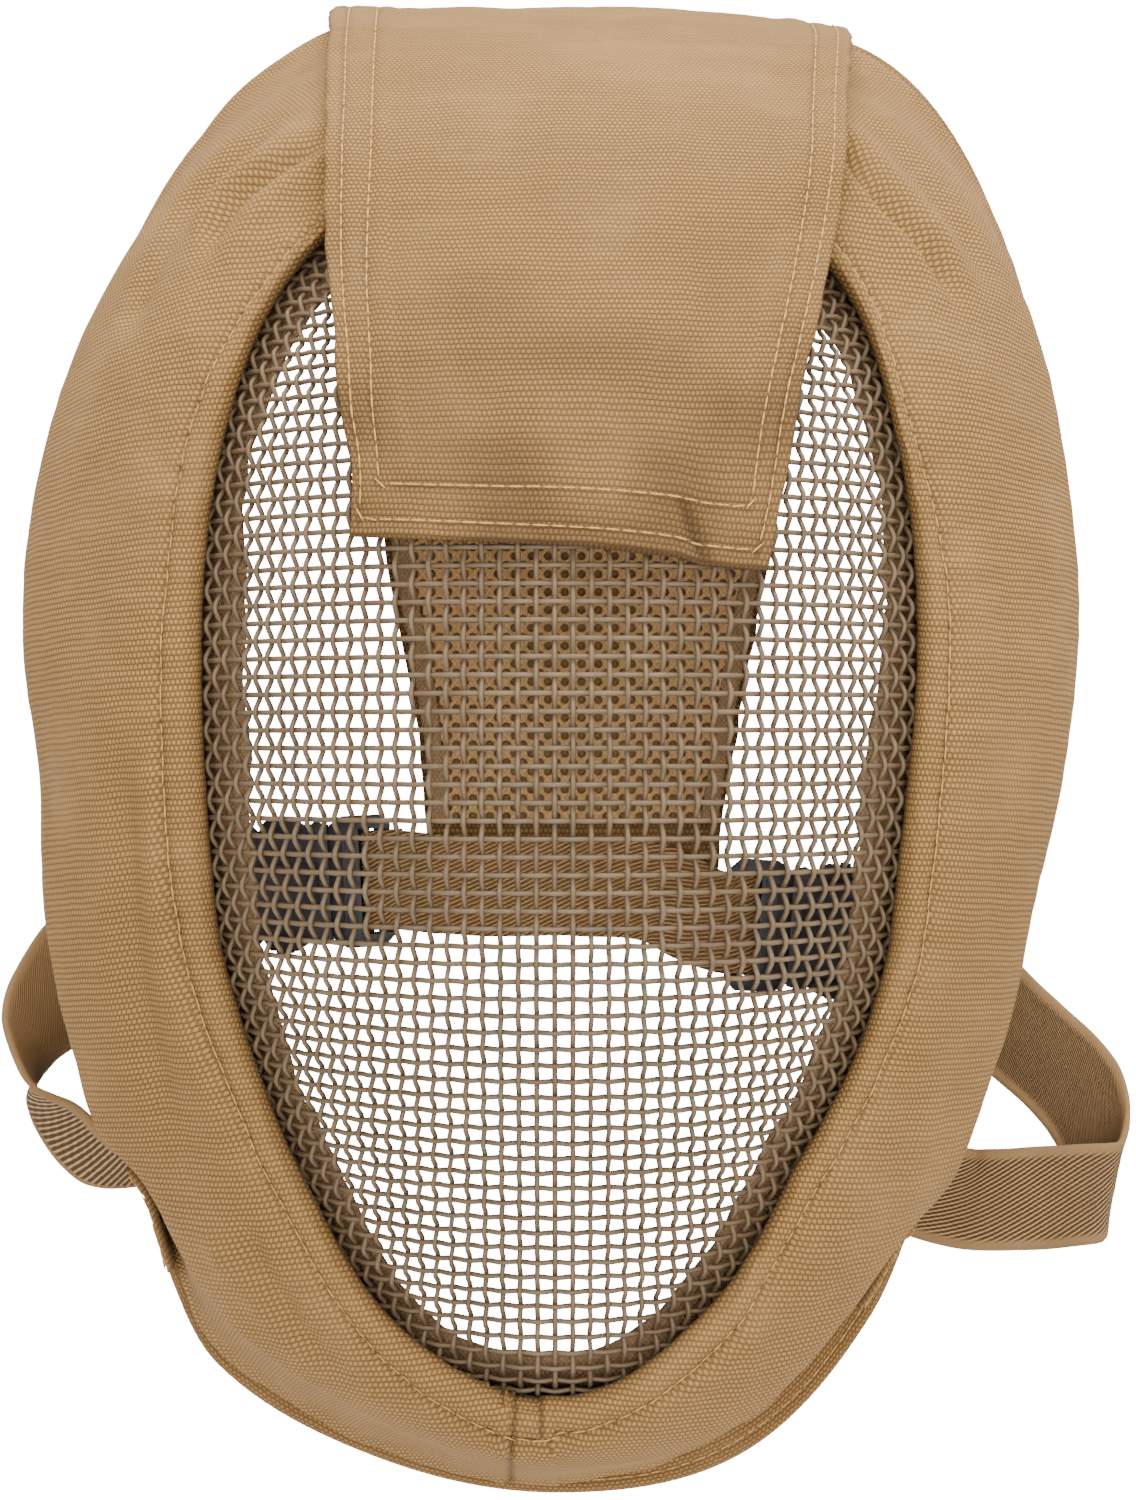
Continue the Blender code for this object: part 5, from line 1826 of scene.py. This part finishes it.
@dataclass
class CrownPad(SubAssembly):
    """The padded spacer mesh on the strap's inner face: a knit of small open cells."""

    low: float = 2.5
    wall: float = 2.6
    hem: float = 3.6
    cell: tuple[float, float] = (3.35, 1.8)
    hole: tuple[float, float] = (0.72, 0.80)
    # y, left, right
    rows: tuple[tuple[float, float, float], ...] = (
        (116, -41, 50.5),
        (80, -37.5, 47),
        (40, -33, 41.5),
        (10, -27.7, 36.2),
        (-14.5, -25, 32.4),
    )

    def sides(self, y: Array) -> tuple[Array, Array]:
        """The pad's left and right edges at each y."""
        rows = sorted(self.rows)
        keys = [row[0] for row in rows]
        return tuple(SmoothCurve(keys, [row[k] for row in rows])(y) for k in (1, 2))

    def cell_tile(self) -> Piece:
        """One rectangular cell round its hole, its lip rounded over."""
        wide, long = self.cell
        turn = np.radians(np.arange(12) * 30.0 + 15.0)
        ring = np.stack([np.cos(turn), np.sin(turn)], axis=-1)
        edge = ring * np.array((wide, long)) / 2 / np.abs(ring).max(axis=1, keepdims=True)
        lip = ring * (np.array(self.hole) + np.array((0.34, 0.10)))
        mouth, foot = ring * self.hole, ring * np.array(self.hole) * 0.9
        layers = [(edge, -0.18), (lip, 0.0), (mouth, -0.3), (foot, -1.7)]
        points = np.array([np.column_stack([flat, np.full(12, z)]) for flat, z in layers])
        # painted shade: the hole's mouth and foot are painted dark
        shade = np.repeat([[0.0], [0.05], [0.8], [1.0]], 12, axis=1)
        return Skin("spacer_cell", points - ORIGIN_SHIFT, crease=shade, capped=False).build()

    def build(self) -> None:
        """Makes the backing, the cells and the hem round them."""
        y = np.linspace(self.rows[-1][0], self.rows[0][0], 60)
        left, right = self.sides(y)
        share = np.linspace(0, 1, 24)
        x = left[:, None] + (right - left)[:, None] * share
        flat = np.stack([x, np.broadcast_to(y[:, None], x.shape), np.zeros_like(x)], axis=-1)
        backing = np.concatenate(
            [flat + np.array((0, 0, self.low + 0.9)), flat[:, ::-1] + np.array((0, 0, self.low))], axis=1
        )
        # painted shade: the backing seen through the holes is painted dark
        piece = Skin("crown_pad_backing", backing, crease=np.full(backing.shape[:2], 0.75)).build()
        adopt(piece, Slot.AIR_MESH, self.finishes.air_mesh, "crown_pad")
        self.cells()
        self.edging()

    def cells(self) -> None:
        """Makes the open cells over the backing, staggered row by row."""
        wide, long = self.cell
        places = []
        low_y, high_y = self.rows[-1][0] + 1.2, self.rows[0][0] - 1.2
        for j, y in enumerate(np.arange(low_y, high_y, long)):
            left, right = (float(edge) for edge in self.sides(y))
            first = math.ceil((left + 1.4) / wide) * wide + (wide / 2 if j % 2 else 0)
            places += [(x, y, self.low + self.wall) for x in np.arange(first, right - 1.4, wide)]
        noise = ClothNoise(51)
        points = np.array(places)
        points[:, 2] += 0.25 * noise(points[:, 0] / 12, points[:, 1] / 12)
        piece = placed("crown_pad_cells", ((points + ORIGIN_SHIFT) * MM).tolist())
        cell = self.cell_tile()
        CellTree().run(piece, Cell=cell, Finish=self.finishes.air_mesh)
        bpy.data.objects.remove(cell)
        adopt(piece, Slot.AIR_MESH, self.finishes.air_mesh)

    def edging(self) -> None:
        """Makes the narrow turned hem that holds the knit's edges."""
        y = np.linspace(self.rows[-1][0], self.rows[0][0], 70)
        left, right = self.sides(y)
        sides = [np.column_stack([left + self.hem / 2, y]), np.column_stack([right - self.hem / 2, y])[::-1]]
        loop = np.vstack(sides)
        turn = np.radians(np.arange(16) * 22.5)
        inward = unit(np.gradient(loop, axis=0))[:, ::-1] * np.array((1, -1))
        rows = []
        noise = ClothNoise(52)
        for k, (place, way) in enumerate(zip(loop, inward)):
            half = self.hem / 2 * (1 + 0.08 * float(noise(k / 3, 0)))
            spread = half * np.sign(np.cos(turn)) * np.abs(np.cos(turn)) ** 0.6
            height = 0.75 * np.sign(np.sin(turn)) * np.abs(np.sin(turn)) ** 0.6
            flat = place[None] + way[None] * spread[:, None]
            rows.append(np.column_stack([flat, self.low + self.wall + 0.25 + height]))
        piece = Skin("crown_pad_hem", np.array(rows), wrap_rows=True).build()
        adopt(piece, Slot.LINING, self.finishes.lining)


@dataclass(frozen=True)
class BuckleRest:
    """Where a buckle lies in plan, and how far it is turned."""

    x: float
    y: float
    turn: float

    def point(self, u: Any, v: Any, z: Any) -> Array:
        """A point of the buckle's own plan, where that buckle lies."""
        u, v, z = np.broadcast_arrays(*(np.asarray(value, float) for value in (u, v, z)))
        cos, sin = math.cos(math.radians(self.turn)), math.sin(math.radians(self.turn))
        return np.stack([self.x + u * cos - v * sin, self.y + u * sin + v * cos, z], axis=-1)


BUCKLES = {Side.LEFT: BuckleRest(-33.0, -26.0, 183.0), Side.RIGHT: BuckleRest(34.4, -34.8, -4.0)}
BAR_LOW, BAR_HIGH = 2.7, 4.7
# u low, u high, the way from the bar to its slot
PLUG_BAR, SOCKET_BAR = (0.0, 3.2, 1), (35.4, 37.6, -1)


def bar_loop(
    rest: BuckleRest, bar: tuple[float, float, int], tail: float, tail_over: bool
) -> list[tuple[float, ...]]:
    """The route of a strap round a buckle's bar, from its tail, by the slot, to its long run.

    Args:
        rest: Where the buckle lies.
        bar: The bar.
        tail: How long the tail is past the bar.
        tail_over: Whether the tail lies over the bar, and the run under it.

    Returns:
        Points of the route, each with the direction of the strap's width.
    """
    middle, half = (bar[0] + bar[1]) / 2, (bar[1] - bar[0]) / 2
    off = 0.65 + 0.8
    first, last, bend = BAR_LOW - off, BAR_HIGH + off, 1.5
    if tail_over:
        first, last, bend = last, first, -bend
    round_bar = (
        (-half - tail, first),
        (half - 0.4, first),
        (half + off + 0.25, first + bend),
        (half + off + 0.25, last - bend),
        (half - 0.4, last),
        (-half - 0.8, last),
    )
    turn = math.radians(rest.turn)
    side = 1 if math.cos(turn) > 0 else -1
    route = []
    for along, z in round_bar:
        x, y, z = rest.point(middle + bar[2] * along, 0, z)
        route.append((x, y, z, -math.sin(turn) * side, math.cos(turn) * side, 0))
    return route


@dataclass
class Ribbon:
    """A flat strap of webbing or elastic along its route."""

    name: str
    node: str
    route: list[tuple[float, ...]]
    finish: Material
    width: float = 20.0
    wall: float = 1.6
    spacing: float = 0.9
    across: int = 26
    # on the upper and under face: the ribs' share of width and of length, and its painted shade; below 0,
    # how plain its ribs are instead
    faces: tuple[tuple[float, float, float], ...] = ((1.0, -0.47, 0.0), (1.0, -0.47, 0.0))
    # how wide the plain border is, and whether the width may lie askew, as stretched elastic's does
    border: float = 0.0
    askew: bool = False
    seed: int = 61

    def centres(self) -> tuple[Array, Array, Array]:
        """The middle line, the direction of the width at each point, and the length so far."""
        keys = np.arange(len(self.route))
        fine = np.linspace(0, len(self.route) - 1, len(self.route) * 40)
        fields = [SmoothCurve(keys, [point[k] for point in self.route]) for k in range(6)]
        values = np.stack([curve(fine) for curve in fields], axis=-1)
        length = running_length(values[:, :3])
        count = round(length[-1] / self.spacing)
        at = np.linspace(0, length[-1], count + 1)
        even = np.stack([np.interp(at, length, values[:, k]) for k in range(6)], axis=-1)
        return even[:, :3], unit(even[:, 3:]), at

    def build(self) -> None:
        """Makes the strap."""
        middle, width, at = self.centres()
        along = unit(np.gradient(middle, axis=0))
        if not self.askew:
            width = unit(width - along * (width * along).sum(-1, keepdims=True))
        up = unit(np.cross(along, width))
        share = np.sin(np.linspace(-90, 90, self.across + 1) * math.pi / 180)
        share = 0.35 * share + 0.65 * np.linspace(-1, 1, self.across + 1)
        noise, fine = ClothNoise(self.seed), ClothNoise(self.seed + 1)
        v = share * self.width / 2
        edge = self.width / 2 - np.abs(v)
        full = rounded(edge, 0.8, 0.1)
        half = self.wall / 2 * full
        ripple = 0.16 * noise(at[:, None] / 9, v[None] / 8) + 0.05 * fine(at[:, None] / 2, v[None] / 2)
        wide = 1 + 0.012 * noise(at / 7, np.full_like(at, 3.5))
        flat = middle[:, None] + width[:, None] * (v[None] * wide[:, None])[..., None]
        top = flat + up[:, None] * (half + ripple * full)[..., None]
        under = flat - up[:, None] * (half - ripple * full)[..., None]
        top[..., 2], under[..., 2] = np.maximum(top[..., 2], 0.02), np.maximum(under[..., 2], 0.02)
        planes, painted_shades = [], []
        bare = 1 - smooth_step(self.border - 0.3, self.border + 0.3, edge) if self.border else 0 * edge
        # painted shade for each face, except at the plain border, where a value below 0 makes the ribs plain
        for of_width, of_length, shade in self.faces:
            ribs = of_width * v[None] + of_length * at[:, None]
            planes.append(np.stack(np.broadcast_arrays(at[:, None], ribs), axis=-1))
            painted_shades.append(np.broadcast_to(shade * (1 - bare) - bare, ribs.shape))
        piece = two_faced(self.name, (top, under), planes, painted_shades)
        adopt(piece, Slot.WEBBING, self.finish, self.node)
        flat = (self.width * MM, float(at[-1]) * MM)


@dataclass
class Straps(SubAssembly):
    """The webbing band inside the mask and the two elastics on their buckles."""

    band_middle: Table = (
        (-24, -26.9, 3.5, 0, 1, 0),
        (-12, -27.4, 3.4, 0, 1, 0),
        (8, -27.5, 3.4, 0, 1, 0),
        (20, -28.8, 3.4, 0.12, 1, 0),
        (27.5, -32.6, 4.6, 0.1, 1, 0),
    )
    left_route: Table = (
        (-76, -28.8, 1.0, -0.1, 1, 0),
        (-82.5, -32, 0.9, -0.25, 1, 0),
        (-89.5, -36.6, 1.0, -0.48, 0.87, 0),
        (-95.8, -42.3, 1.9, -0.68, 0.71, 0.08),
        (-101.7, -51.2, 4.6, -0.675, 0.635, 0.377),
        (-103.8, -56.2, 7.2, -0.613, 0.384, 0.69),
        (-104.5, -60.0, 9.4, -0.374, 0.225, 0.9),
        (-104.6, -63.3, 10.8, -0.153, 0.122, 0.981),
        (-104.4, -65.9, 11.3, 0.021, 0.067, 0.998),
        (-104.1, -68.3, 11.3, 0.207, 0.119, 0.971),
        (-102.4, -70.6, 11.1, 0.336, 0.21, 0.918),
        (-99.9, -73.2, 10.7, 0.425, 0.339, 0.839),
        (-97.2, -76.3, 10.7, 0.42, 0.462, 0.781),
        (-94.8, -79.1, 10.7, 0.366, 0.518, 0.773),
        (-92.3, -81.3, 10.7, 0.301, 0.543, 0.784),
        (-89.4, -82.8, 11.0, 0.219, 0.496, 0.841),
        (-86.2, -83.5, 11.2, 0.139, 0.428, 0.893),
        (-83.2, -83.7, 11.2, 0.065, 0.366, 0.928),
    )
    right_route: Table = (
        (76.4, -38.0, 1.0, 0.1, 1, 0),
        (83.5, -46.5, 0.9, 0.45, 0.88, 0),
        (89.6, -53.6, 0.9, 0.62, 0.78, 0),
        (95.6, -59.2, 0.95, 0.651, 0.759, 0.005),
        (101.7, -64.7, 1.25, 0.657, 0.754, 0.032),
        (106.4, -70.6, 2.05, 0.624, 0.774, 0.108),
        (109.2, -77.2, 3.45, 0.537, 0.804, 0.256),
        (110.6, -82.3, 5.2, 0.364, 0.831, 0.422),
        (110.9, -86.2, 8.75, 0.16, 0.859, 0.487),
        (109.7, -87.4, 12.3, 0.007, 0.934, 0.358),
        (107.4, -87.9, 14.7, -0.095, 0.98, 0.177),
        (104.1, -88.1, 16.1, -0.132, 0.99, 0.047),
        (99.4, -88.5, 16.3, -0.104, 0.995, 0.009),
        (92.5, -89.0, 15.7, -0.059, 0.998, 0.009),
        (85.9, -89.3, 14.5, 0.023, 1.0, 0.01),
        (80, -89.0, 12.8, 0.3, 0.95, 0.02),
        (72, -86.8, 12.2, 0.5, 0.86, 0.05),
        (66, -83.5, 12.2, 0.57, 0.82, 0.05),
    )
    # the elastics' ribs on each face, as in Ribbon; the right elastic's upper face is darkened with painted
    # shade
    left_faces: tuple[tuple[float, float, float], ...] = ((0.169, -0.71, 0.0), (1.6, 0.9, -0.5))
    right_faces: tuple[tuple[float, float, float], ...] = ((1.9, 0.9, 0.38), (0.92, 0.5, 0.0))
    # how long each tail is past its bar: band left and right, elastic left and right
    tails: tuple[float, float, float, float] = (2.5, 0.2, 1.0, 0.4)

    def build(self) -> None:
        """Makes the three straps."""
        left, right = BUCKLES[Side.LEFT], BUCKLES[Side.RIGHT]
        start = bar_loop(left, PLUG_BAR, self.tails[0], False)
        end = bar_loop(right, PLUG_BAR, self.tails[1], False)
        band = start + list(self.band_middle) + end[::-1]
        Ribbon("rear_band_webbing", "rear_band", band, self.finishes.webbing).build()
        for side, tail, route, faces, seed in (
            (Side.LEFT, self.tails[2], self.left_route, self.left_faces, 64),
            (Side.RIGHT, self.tails[3], self.right_route, self.right_faces, 67),
        ):
            path = bar_loop(BUCKLES[side], SOCKET_BAR, tail, True) + list(route)
            name = f"elastic_{side.value}"
            size = {"width": 20.3, "border": 1.9, "askew": True, "seed": seed}
            Ribbon(f"{name}_strap", name, path, self.finishes.elastic, faces=faces, **size).build()


@dataclass
class SewnTab(SewnAssembly):
    """A short tab on the cover's wall that holds an elastic's end."""

    shape: CoverShape
    side: Side
    first: float
    last: float
    thick: float = 2.0
    low: float = RIM_Z + 0.4
    height: float = 16.0
    clearance: float = 1.2
    length: float = 18.0
    rib_pitch: float = 1.6

    def wall_radius(self, clock: Array, z: Array) -> Array:
        """The radius of the cover's wall at these heights, below its fullest line."""
        lines = self.shape.outline(clock)[:, -self.shape.wall_steps - 1 :]
        return np.array([np.interp(-z, -line[:, 1], line[:, 0]) for line in lines])

    def build(self) -> None:
        """Makes the tab and its box of stitches."""
        clock = np.linspace(self.first, self.last, 40)
        z = np.linspace(self.low, self.low + self.height, 30)
        radius = self.wall_radius(clock, z)
        along = np.abs(clock - clock[0]) / abs(self.last - self.first)
        run = np.minimum(along, 1 - along)[:, None] * self.length
        rise = np.minimum(z - z[0], z[-1] - z)[None]
        edge = np.minimum(run, rise)
        full = rounded(edge, 0.9, 0.1)
        noise = ClothNoise(71)
        middle = radius + self.clearance + self.thick / 2 + 0.15 * noise(run / 4, z[None] / 4)
        ribs = 0.16 * np.cos(along[:, None] * self.length * 2 * math.pi / self.rib_pitch)
        outer = on_ray(clock[:, None], middle + self.thick / 2 * full + ribs * full, z[None])
        inner = on_ray(clock[:, None], middle - self.thick / 2 * full, z[None])
        plane = np.stack(np.broadcast_arrays(along[:, None] * self.length, z[None]), axis=-1)
        # painted shade: along the tab's outer edges and over its whole inner face
        painted_shades = (0.5 * bell(edge, 0.5), np.full_like(edge, 0.9))
        name = f"strap_tab_{self.side.value}"
        piece = two_faced(f"{name}_cloth", (outer, inner), (plane, plane), painted_shades)
        adopt(piece, Slot.CANVAS, self.finishes.canvas, name)
        flat = (self.height * MM, float(running_length(outer[:, 10])[-1]) * MM)
        normals = facing(grid_normals(outer), outer - np.array((0, WINDOW_MIDDLE_Y, 0)))
        box = [(4, 4), (35, 4), (35, 25), (4, 25), (4, 4), (35, 25), (35, 4), (4, 25)]
        path = np.vstack([np.linspace(a, b, 12, endpoint=False) for a, b in zip(box, box[1:])])
        self.seam.add(sampled(outer, path[:, 0], path[:, 1]), sampled(normals, path[:, 0], path[:, 1]), 0.1)


@dataclass
class Buckle(SubAssembly):
    """One fastened side-release buckle: the plug with its sprung arms in the socket."""

    side: Side
    height: float = 7.6
    inset: float = 0.4
    arm_low: float = 1.9
    arm_high: float = 5.7
    bar_reach: float = 10.4
    # the part of the slot that the strap leaves open
    slit: Outline = ((5.0, -7.5), (6.0, -7.5), (6.0, 1.5), (5.0, 1.5))
    plug: Outline = ((0, 11.2), (2.0, 13.2), (9.5, 13.2), (12.0, 11.6))
    arm: Outline = (
        (11.0, 8.2),
        (11.0, 11.0),
        (17.0, 11.8),
        (19.5, 13.4),
        (25.0, 13.0),
        (26.5, 10.6),
        (25.0, 9.2),
        (16.0, 8.6),
    )
    socket: Outline = (
        (12.4, 11.6),
        (15.0, 12.4),
        (18.5, 9.8),
        (25.5, 9.8),
        (28.5, 13.0),
        (35.8, 13.0),
        (37.6, 11.2),
    )

    def prism(self, name: str, outline: Sequence[tuple[float, float]], low: float, high: float) -> Piece:
        """An upright prism of an outline in the buckle's plan."""
        rest = BUCKLES[self.side]
        u, v = np.array(outline, float).T
        rings = np.stack([rest.point(u, v, low), rest.point(u, v, high)])
        return Skin(name, rings).build()

    @staticmethod
    def box(u_low: float, u_high: float, half: float) -> list[tuple[float, float]]:
        """A rectangle, even about the u axis."""
        return [(u_low, -half), (u_high, -half), (u_high, half), (u_low, half)]

    @staticmethod
    def mirrored(outline: Sequence[tuple[float, float]]) -> list[tuple[float, float]]:
        """A closed outline from its points on one side of the u axis."""
        return list(outline) + [(u, -v) for u, v in reversed(outline)]

    def combine(self, piece: Piece, cuts: Sequence[tuple[str, Any, float, float]]) -> None:
        """Adds or cuts prisms one by one, then rounds every edge a little.

        Args:
            piece: The half that is worked on.
            cuts: Each step's operation, outline, low and high.
        """
        tools = []
        for operation, outline, low, high in cuts:
            tool = self.prism("buckle_tool", outline, low, high)
            modifier = piece.modifiers.new(operation.title(), "BOOLEAN")
            modifier.operation, modifier.object, modifier.solver = operation, tool, "EXACT"
            tools.append(tool)
        rounding = piece.modifiers.new("Rounding", "BEVEL")
        rounding.width, rounding.segments, rounding.limit_method = 0.45 * MM, 3, "ANGLE"
        rounding.angle_limit = math.radians(28)
        rounding.harden_normals = False
        made_plain(piece)
        for tool in tools:
            bpy.data.objects.remove(tool)
        piece.data.shade_smooth()
        piece.data.set_sharp_from_angle(angle=math.radians(35))

    def build(self) -> None:
        """Makes the two halves."""
        low, high = self.inset, self.height - self.inset
        cut, join = "DIFFERENCE", "UNION"
        name = f"buckle_plug_{self.side.value}"
        plug = self.prism(f"{name}_moulding", self.mirrored(self.plug), low, high)
        bar = self.box(PLUG_BAR[0] - 1, PLUG_BAR[1] + 1, self.bar_reach)
        steps = [
            (cut, self.box(3.2, 6.2, 10.6), 1.6, high + 1),
            (cut, self.slit, low - 1, 2.0),
            (cut, bar, -1, BAR_LOW),
            (cut, bar, BAR_HIGH, self.height + 1),
            (join, list(self.arm), self.arm_low, self.arm_high),
            (join, [(u, -v) for u, v in self.arm], self.arm_low, self.arm_high),
            (join, self.box(11.0, 24.0, 3.0), self.arm_low, self.arm_high),
            (join, self.box(11.0, 15.5, 10.4), self.arm_low, self.arm_high),
            (join, self.box(7.2, 8.0, 9.4), high - 0.5, high + 0.35),
            (join, self.box(9.0, 9.8, 8.6), high - 0.5, high + 0.35),
        ]
        for u in (20.4, 21.8, 23.2):
            for side in (1, -1):
                rib = [(u, side * 12.6), (u + 0.7, side * 12.6), (u + 0.7, side * 13.75), (u, side * 13.75)]
                steps.append((join, rib, self.arm_low + 0.5, self.arm_high - 0.5))
        self.combine(plug, steps)
        adopt(plug, Slot.BUCKLE, self.finishes.buckle, name)
        name = f"buckle_socket_{self.side.value}"
        socket = self.prism(f"{name}_moulding", self.mirrored(self.socket), 0, self.height)
        bar = self.box(SOCKET_BAR[0] - 1, SOCKET_BAR[1] + 1, self.bar_reach)
        steps = [
            (cut, self.box(12.0, 28.0, 20.0), 1.5, self.height - 1.5),
            (cut, self.box(31.6, 35.4, 10.6), -1, self.height + 1),
            (cut, bar, -1, BAR_LOW),
            (cut, bar, BAR_HIGH, self.height + 1),
            (cut, self.box(14.6, 27.0, 4.2), self.height - 0.35, self.height + 1),
            (join, self.box(29.3, 30.0, 9.6), self.height - 0.5, self.height + 0.3),
        ]
        self.combine(socket, steps)
        adopt(socket, Slot.BUCKLE, self.finishes.buckle, name)


@dataclass
class Studio:
    """The pale floor, the soft lights and the camera straight above."""

    floor_half: float = 1.6
    camera_place: tuple[float, float, float] = (-0.00101, -0.00065, 0.890)
    lens: float = 105.84

    def floor(self) -> None:
        """Lays the bright floor that is seen, and a plain white board on it that only gives light back."""
        half = self.floor_half
        corners = [(-half, -half, 0), (half, -half, 0), (half, half, 0), (-half, half, 0)]
        boards = (("bounce_board", -0.0002, 0.0), ("pale_floor", -0.0008, 16.0))
        for name, z, glow in boards:
            board = placed(name, corners, [], [(0, 1, 2, 3)])
            finish = FloorFinish(name, glow=glow).material()
            finish.cycles.emission_sampling = "NONE"
            board.data.materials.append(finish)
            board.location.z = z
            board.visible_camera = glow > 0
            board.visible_diffuse = board.visible_glossy = glow == 0

    def lights(self) -> None:
        """Hangs the soft lights."""
        lamps = {
            "soft_overhead": ((0.05, 0.05, 1.45), (1.1, 1.1), 24.0),
            "soft_top": ((0.1, 1.4, 0.55), (1.3, 0.8), 47.0),
            "soft_right": ((1.15, 0.15, 0.75), (0.8, 0.9), 9.0),
            "soft_left": ((-1.2, 0.35, 0.8), (0.8, 0.9), 6.5),
            "soft_low": ((-0.1, -1.3, 0.7), (1.0, 0.7), 14.5),
        }
        for name, (place, size, power) in lamps.items():
            lamp = bpy.data.lights.new(name, "AREA")
            lamp.shape, lamp.size, lamp.size_y, lamp.energy = "RECTANGLE", *size, power
            lamp.color = (1.0, 0.985, 0.965)
            holder = bpy.data.objects.new(name, lamp)
            holder.location = place
            aim = -np.array(place)
            holder.rotation_euler = (
                math.atan2(math.hypot(aim[0], aim[1]), -aim[2]),
                0.0,
                math.atan2(aim[0], -aim[1]) + math.pi,
            )
            bpy.context.scene.collection.objects.link(holder)
        world = bpy.data.worlds.new("studio_air")
        world.use_nodes = True
        tree = Tree(world.node_tree)
        values = {"Color": (1.0, 1.0, 1.0, 1.0), "Strength": 0.3}
        shade = tree.node("ShaderNodeBackground", values)
        tree.node("ShaderNodeOutputWorld", {"Surface": shade})
        bpy.context.scene.world = world

    def camera(self) -> None:
        """Sets the camera."""
        lens = bpy.data.cameras.new("overhead_camera")
        lens.lens, lens.sensor_width, lens.sensor_fit = self.lens, 36.0, "AUTO"
        lens.clip_start, lens.clip_end = 0.05, 20.0
        holder = bpy.data.objects.new("overhead_camera", lens)
        holder.location = self.camera_place
        bpy.context.scene.collection.objects.link(holder)
        bpy.context.scene.camera = holder

    def build(self) -> None:
        """Sets up the whole studio."""
        self.floor()
        self.lights()
        self.camera()


def main() -> None:
    """Builds every sub-assembly in order."""
    logging.basicConfig(level=logging.INFO, format="%(message)s")
    finishes = Finishes()
    dome = Dome()
    shape = CoverShape(dome)
    stitches = StitchTree()
    Studio().build()
    WireVisor(finishes, dome, shape).build()
    cover_seam, rim_seam, flap_seam = Seam("cover_stitches"), Seam("rim_stitches"), Seam("flap_stitches")
    left_folds = (
        Fold(-3.2, 1.9, ((-40, 114), (-51.8, 107), (-59.3, 101.4), (-63, 95.8), (-64.5, 88))),
        Fold(1.3, 2.3, ((-42, 111), (-50.8, 102.3), (-56.5, 94.8), (-60.2, 87))),
        Fold(1.5, 2.4, ((-44, 118), (-56.5, 108), (-63, 102.4), (-68, 90))),
        Fold(-2.4, 2.2, ((-48, 121), (-63, 108), (-70.5, 98.6), (-77.1, 84.5), (-80, 74))),
        Fold(1.2, 2.6, ((-52, 124), (-67.7, 108), (-73.4, 98.6), (-79, 84))),
        Fold(-2.4, 3.2, ((-80, 10), (-77.7, -24), (-76.8, -43.2), (-73.8, -58.6), (-67.5, -85.6))),
        Fold(1.9, 3.2, ((-73, 10), (-72.2, -24), (-69.9, -43.2), (-64.6, -58.6), (-59, -80))),
        Fold(-1.9, 2.4, ((-58, -86), (-54, -96), (-46.5, -108), (-38, -118))),
        Fold(1.1, 2.6, ((-66, -86), (-60, -98), (-52, -109), (-42, -120))),
        Fold(-0.7, 2.2, ((-62, -97), (-56, -106), (-50, -114))),
    )
    right_folds = (
        Fold(-3.2, 1.7, ((50, 115), (54.2, 110.4), (59.2, 103.1), (66, 95.4), (72, 87), (75, 80))),
        Fold(1.3, 2.2, ((51, 110), (54.9, 104.8), (62.6, 95.4), (70, 84))),
        Fold(1.5, 2.4, ((52, 118), (58, 112.5), (65, 103.5), (72.5, 93.7), (77, 83))),
        Fold(-2.0, 2.4, ((56, 123), (66, 112), (76, 98), (83, 84))),
        Fold(-0.7, 3.0, ((80, 60), (83, 20), (82, -20), (77, -50))),
        Fold(0.8, 3.0, ((72, -60), (64, -84), (50, -104))),
        Fold(-0.8, 2.6, ((66, -78), (54, -98), (40, -114))),
        Fold(0.6, 2.4, ((40, -104), (28, -114), (16, -120))),
    )
    sewn = (finishes, cover_seam, shape)
    PaddedCover(*sewn, Side.RIGHT, 0.0, CHIN_SEAM_CLOCK + 1, folds=right_folds).build()
    PaddedCover(*sewn, Side.LEFT, CHIN_SEAM_CLOCK, 360.0, folds=left_folds).build()
    InnerLining(finishes, shape).build()
    RimBinding(finishes, rim_seam, shape).build()
    HeadStrap(finishes, flap_seam).build()
    CrownPad(finishes).build()
    Straps(finishes).build()
    SewnTab(finishes, rim_seam, shape, Side.LEFT, -132.6, -142.2).build()
    SewnTab(finishes, rim_seam, shape, Side.RIGHT, 141.0, 150.5).build()
    for side in Side:
        Buckle(finishes, side).build()
    cover_seam.sew(stitches, finishes.thread, Slot.CANVAS, seed=3)
    rim_seam.sew(stitches, finishes.thread, Slot.BINDING, 3.0, seed=4)
    flap_seam.sew(stitches, finishes.thread, Slot.CANVAS, 3.1, seed=5)


if __name__ == "__main__":
    main()
